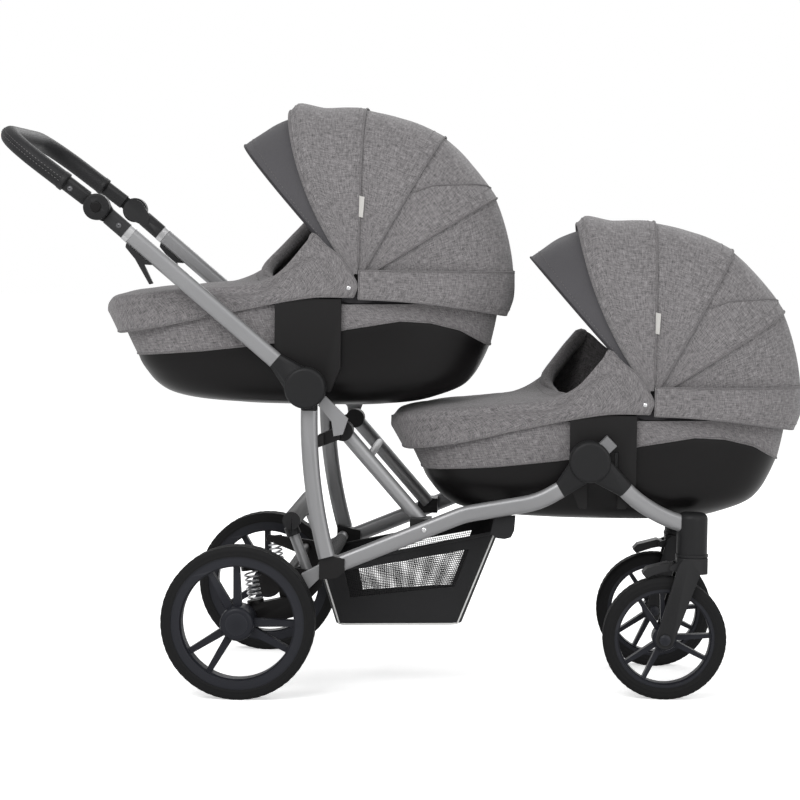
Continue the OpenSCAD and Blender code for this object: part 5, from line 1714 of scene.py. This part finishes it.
def make_fasteners():
    """Screws and rivets on the side faces, mirrored, one mesh for each body."""
    size = trim_sizes().screw
    for body, kind, (x, y, z), scale, look, slot in FASTENERS:
        places = [(at(x, sign * y, z), Vector((0, -sign, 0)), FASTENER_TURN) for sign in (1, -1)]
        put_on(repeat(f"{body}_{kind}s", kind, places, size * scale, finish(look)), body, slot)
    for cot in COTS:
        places = []
        for sign in (1, -1):
            spot = at(SNAP[0], sign * -(WING_Y + 0.2), SNAP[1]) + COT_STEP[cot]
            places.append((spot, Vector((0, -sign, 0)), Vector((1, 0, 0))))
        snaps = repeat(f"{cot}_cot_snaps", "rivet", places, SNAP_R, finish("bright"))
        put_on(snaps, f"{cot}_cot", "frame_metal")


# Stage
CAMERA = {
    "place": (510.85, -4571.27, 861.09),
    "right": (0.99864, 0.05025, 0.01358),
    "down": (0.01694, -0.06723, -0.99759),
    "forward": (-0.04921, 0.99647, -0.06799),
    "lens": 104.374,
}
LIGHTS = (
    ("key", (-1.6, -3.4, 3.6), 2.6, 120.0),
    ("fill", (2.8, -3.0, 2.0), 3.0, 50.0),
    ("back", (0.6, 3.2, 3.0), 3.0, 70.0),
)
LIGHT_AIM = Vector((0, 0, 0.55))
FLOOR_REACH, FLOOR_COLOUR, FLOOR_GLOW = 30, (0.93, 0.93, 0.93, 1), 0.5
WORLD_LIGHT, GLOSSY_SHARE = 0.55, 0.6


def make_camera():
    """Camera fitted to the photo's view."""
    data = bpy.data.cameras.new("camera")
    data.sensor_width = 36.0
    data.lens = CAMERA["lens"]
    data.clip_end = 100
    made = new_object("camera", data)
    right, down, ahead = (Vector(CAMERA[k]).normalized() for k in ("right", "down", "forward"))
    turn = Matrix((right, -down, -ahead)).transposed()
    made.matrix_world = Matrix.Translation(at(*CAMERA["place"])) @ turn.to_4x4()
    bpy.context.scene.camera = made


def make_lights():
    """Three soft lamps round the pram."""
    for name, place, size, power in LIGHTS:
        data = bpy.data.lights.new(name, "AREA")
        data.size = size
        data.energy = power
        made = new_object(name, data)
        made.location = place
        made.rotation_euler = (LIGHT_AIM - Vector(place)).to_track_quat("-Z", "Y").to_euler()


def make_world():
    """White background with softer light on the pram."""
    world = bpy.data.worlds.new("studio")
    bpy.context.scene.world = world
    world.use_nodes = True
    tree = world.node_tree
    back = tree.nodes["Background"]
    back.inputs["Color"].default_value = (1, 1, 1, 1)
    path = node(tree, "ShaderNodeLightPath")
    glossy = math_node(tree, "MULTIPLY", path.outputs["Is Glossy Ray"], GLOSSY_SHARE)
    seen = math_node(tree, "MAXIMUM", path.outputs["Is Camera Ray"], glossy)
    more = math_node(tree, "MULTIPLY", seen, 1 - WORLD_LIGHT)
    level = math_node(tree, "ADD", more, WORLD_LIGHT, True)
    tree.links.new(level, back.inputs["Strength"])


def make_floor():
    """Pale floor under the pram."""
    mesh = bpy.data.meshes.new("floor")
    corners = [(x * FLOOR_REACH, y * FLOOR_REACH, 0) for x, y in ((-1, -1), (1, -1), (1, 1), (-1, 1))]
    mesh.from_pydata(corners, [], [(0, 1, 2, 3)])
    made = new_object("floor", mesh)
    paint = bpy.data.materials.new("floor")
    paint.use_nodes = True
    tree = paint.node_tree
    shader = tree.nodes["Principled BSDF"]
    shader.inputs["Base Color"].default_value = FLOOR_COLOUR
    shader.inputs["Roughness"].default_value = 0.9
    shader.inputs["Specular IOR Level"].default_value = 0.1
    path = node(tree, "ShaderNodeLightPath")
    glow = math_node(tree, "MULTIPLY", path.outputs["Is Camera Ray"], FLOOR_GLOW)
    shader.inputs["Emission Color"].default_value = (1, 1, 1, 1)
    tree.links.new(glow, shader.inputs["Emission Strength"])
    mesh.materials.append(paint)


def make_stage():
    """Camera, light, background and floor."""
    bpy.context.scene.view_settings.view_transform = "Standard"
    make_camera()
    make_lights()
    make_world()
    make_floor()


def for_cots(maker):
    """Runs a maker for each carrycot."""
    for cot in COTS:
        maker(cot)


# Operators, one for each piece or group of like pieces
class PRAM_OT_stage(bpy.types.Operator):
    """Camera, light, floor and background"""

    bl_idname = "pram.stage"
    bl_label = "Stage"

    def execute(self, context):
        make_stage()
        return {"FINISHED"}


class PRAM_OT_tubes(bpy.types.Operator):
    """Anodised tubes and steel plates"""

    bl_idname = "pram.tubes"
    bl_label = "Frame tubes"

    def execute(self, context):
        make_solids("metal")
        return {"FINISHED"}


class PRAM_OT_joints(bpy.types.Operator):
    """Charcoal pods, sockets, forks and levers"""

    bl_idname = "pram.joints"
    bl_label = "Moulded joints"

    def execute(self, context):
        make_solids("charcoal")
        return {"FINISHED"}


class PRAM_OT_blacks(bpy.types.Operator):
    """Clamps, axle, swing arms and adapters"""

    bl_idname = "pram.blacks"
    bl_label = "Black mouldings"

    def execute(self, context):
        make_solids("black")
        return {"FINISHED"}


class PRAM_OT_buttons(bpy.types.Operator):
    """Grey buttons in the front pods"""

    bl_idname = "pram.buttons"
    bl_label = "Release buttons"

    def execute(self, context):
        make_solids("grey")
        return {"FINISHED"}


class PRAM_OT_sleeves(bpy.types.Operator):
    """Bright sleeves on the push arms"""

    bl_idname = "pram.sleeves"
    bl_label = "Arm sleeves"

    def execute(self, context):
        make_sleeves()
        return {"FINISHED"}


class PRAM_OT_wheels(bpy.types.Operator):
    """Tyres, rims and caps"""

    bl_idname = "pram.wheels"
    bl_label = "Wheels"

    def execute(self, context):
        make_wheels()
        return {"FINISHED"}


class PRAM_OT_springs(bpy.types.Operator):
    """Rear coil springs"""

    bl_idname = "pram.springs"
    bl_label = "Springs"

    def execute(self, context):
        make_springs()
        return {"FINISHED"}


class PRAM_OT_handle(bpy.types.Operator):
    """Stitched grip and collars"""

    bl_idname = "pram.handle"
    bl_label = "Handle"

    def execute(self, context):
        make_handle()
        return {"FINISHED"}


class PRAM_OT_basket(bpy.types.Operator):
    """Cloth basket with piping and loops"""

    bl_idname = "pram.basket"
    bl_label = "Basket"

    def execute(self, context):
        make_basket()
        return {"FINISHED"}


class PRAM_OT_tubs(bpy.types.Operator):
    """Moulded tubs"""

    bl_idname = "pram.tubs"
    bl_label = "Tubs"

    def execute(self, context):
        for_cots(make_tub)
        return {"FINISHED"}


class PRAM_OT_bands(bpy.types.Operator):
    """Linen bands"""

    bl_idname = "pram.bands"
    bl_label = "Bands"

    def execute(self, context):
        for_cots(make_band)
        return {"FINISHED"}


class PRAM_OT_liners(bpy.types.Operator):
    """Dark liners inside the bands"""

    bl_idname = "pram.liners"
    bl_label = "Liners"

    def execute(self, context):
        for_cots(make_liner)
        return {"FINISHED"}


class PRAM_OT_mattresses(bpy.types.Operator):
    """Padded mattresses"""

    bl_idname = "pram.mattresses"
    bl_label = "Mattresses"

    def execute(self, context):
        for_cots(make_mattress)
        return {"FINISHED"}


class PRAM_OT_aprons(bpy.types.Operator):
    """Linen aprons with wings"""

    bl_idname = "pram.aprons"
    bl_label = "Aprons"

    def execute(self, context):
        for_cots(make_apron)
        return {"FINISHED"}


class PRAM_OT_hoods(bpy.types.Operator):
    """Hood panels, piping and tags"""

    bl_idname = "pram.hoods"
    bl_label = "Hoods"

    def execute(self, context):
        for_cots(make_hood)
        return {"FINISHED"}


class PRAM_OT_visors(bpy.types.Operator):
    """Visor cloth and binding"""

    bl_idname = "pram.visors"
    bl_label = "Visors"

    def execute(self, context):
        for_cots(make_visor)
        return {"FINISHED"}


class PRAM_OT_fasteners(bpy.types.Operator):
    """Screws, rivets and snaps"""

    bl_idname = "pram.fasteners"
    bl_label = "Fasteners"

    def execute(self, context):
        make_fasteners()
        return {"FINISHED"}


OPERATORS = [
    PRAM_OT_stage, PRAM_OT_tubes, PRAM_OT_joints, PRAM_OT_blacks, PRAM_OT_buttons,
    PRAM_OT_sleeves, PRAM_OT_wheels, PRAM_OT_springs, PRAM_OT_handle, PRAM_OT_basket,
    PRAM_OT_tubs, PRAM_OT_bands, PRAM_OT_liners, PRAM_OT_mattresses, PRAM_OT_aprons,
    PRAM_OT_hoods, PRAM_OT_visors, PRAM_OT_fasteners,
]


class PRAM_PT_panel(bpy.types.Panel):
    """Lists the pram's makers and their sizes."""

    bl_idname = "PRAM_PT_panel"
    bl_label = "Twin pram"
    bl_space_type = "VIEW_3D"
    bl_region_type = "UI"
    bl_category = "Twin pram"

    def draw(self, context):
        for made in OPERATORS:
            self.layout.operator(made.bl_idname)
        for sizes in (cot_sizes(), trim_sizes(), finishes()):
            for name in sizes.bl_rna.properties.keys():
                if name not in ("rna_type", "name"):
                    self.layout.prop(sizes, name)


CLASSES = [CotSizes, TrimSizes, Finishes, *OPERATORS, PRAM_PT_panel]


def register():
    """Adds the classes and the sizes to Blender."""
    for made in CLASSES:
        bpy.utils.register_class(made)
    bpy.types.Scene.pram_cots = PointerProperty(type=CotSizes)
    bpy.types.Scene.pram_trim = PointerProperty(type=TrimSizes)
    bpy.types.Scene.pram_finishes = PointerProperty(type=Finishes)


def unregister():
    """Takes the classes and the sizes out again."""
    del bpy.types.Scene.pram_finishes
    del bpy.types.Scene.pram_trim
    del bpy.types.Scene.pram_cots
    for made in reversed(CLASSES):
        bpy.utils.unregister_class(made)


def main():
    """Builds everything."""
    register()
    for made in OPERATORS:
        getattr(bpy.ops.pram, made.bl_idname.split(".")[1])()


if __name__ == "__main__":
    main()
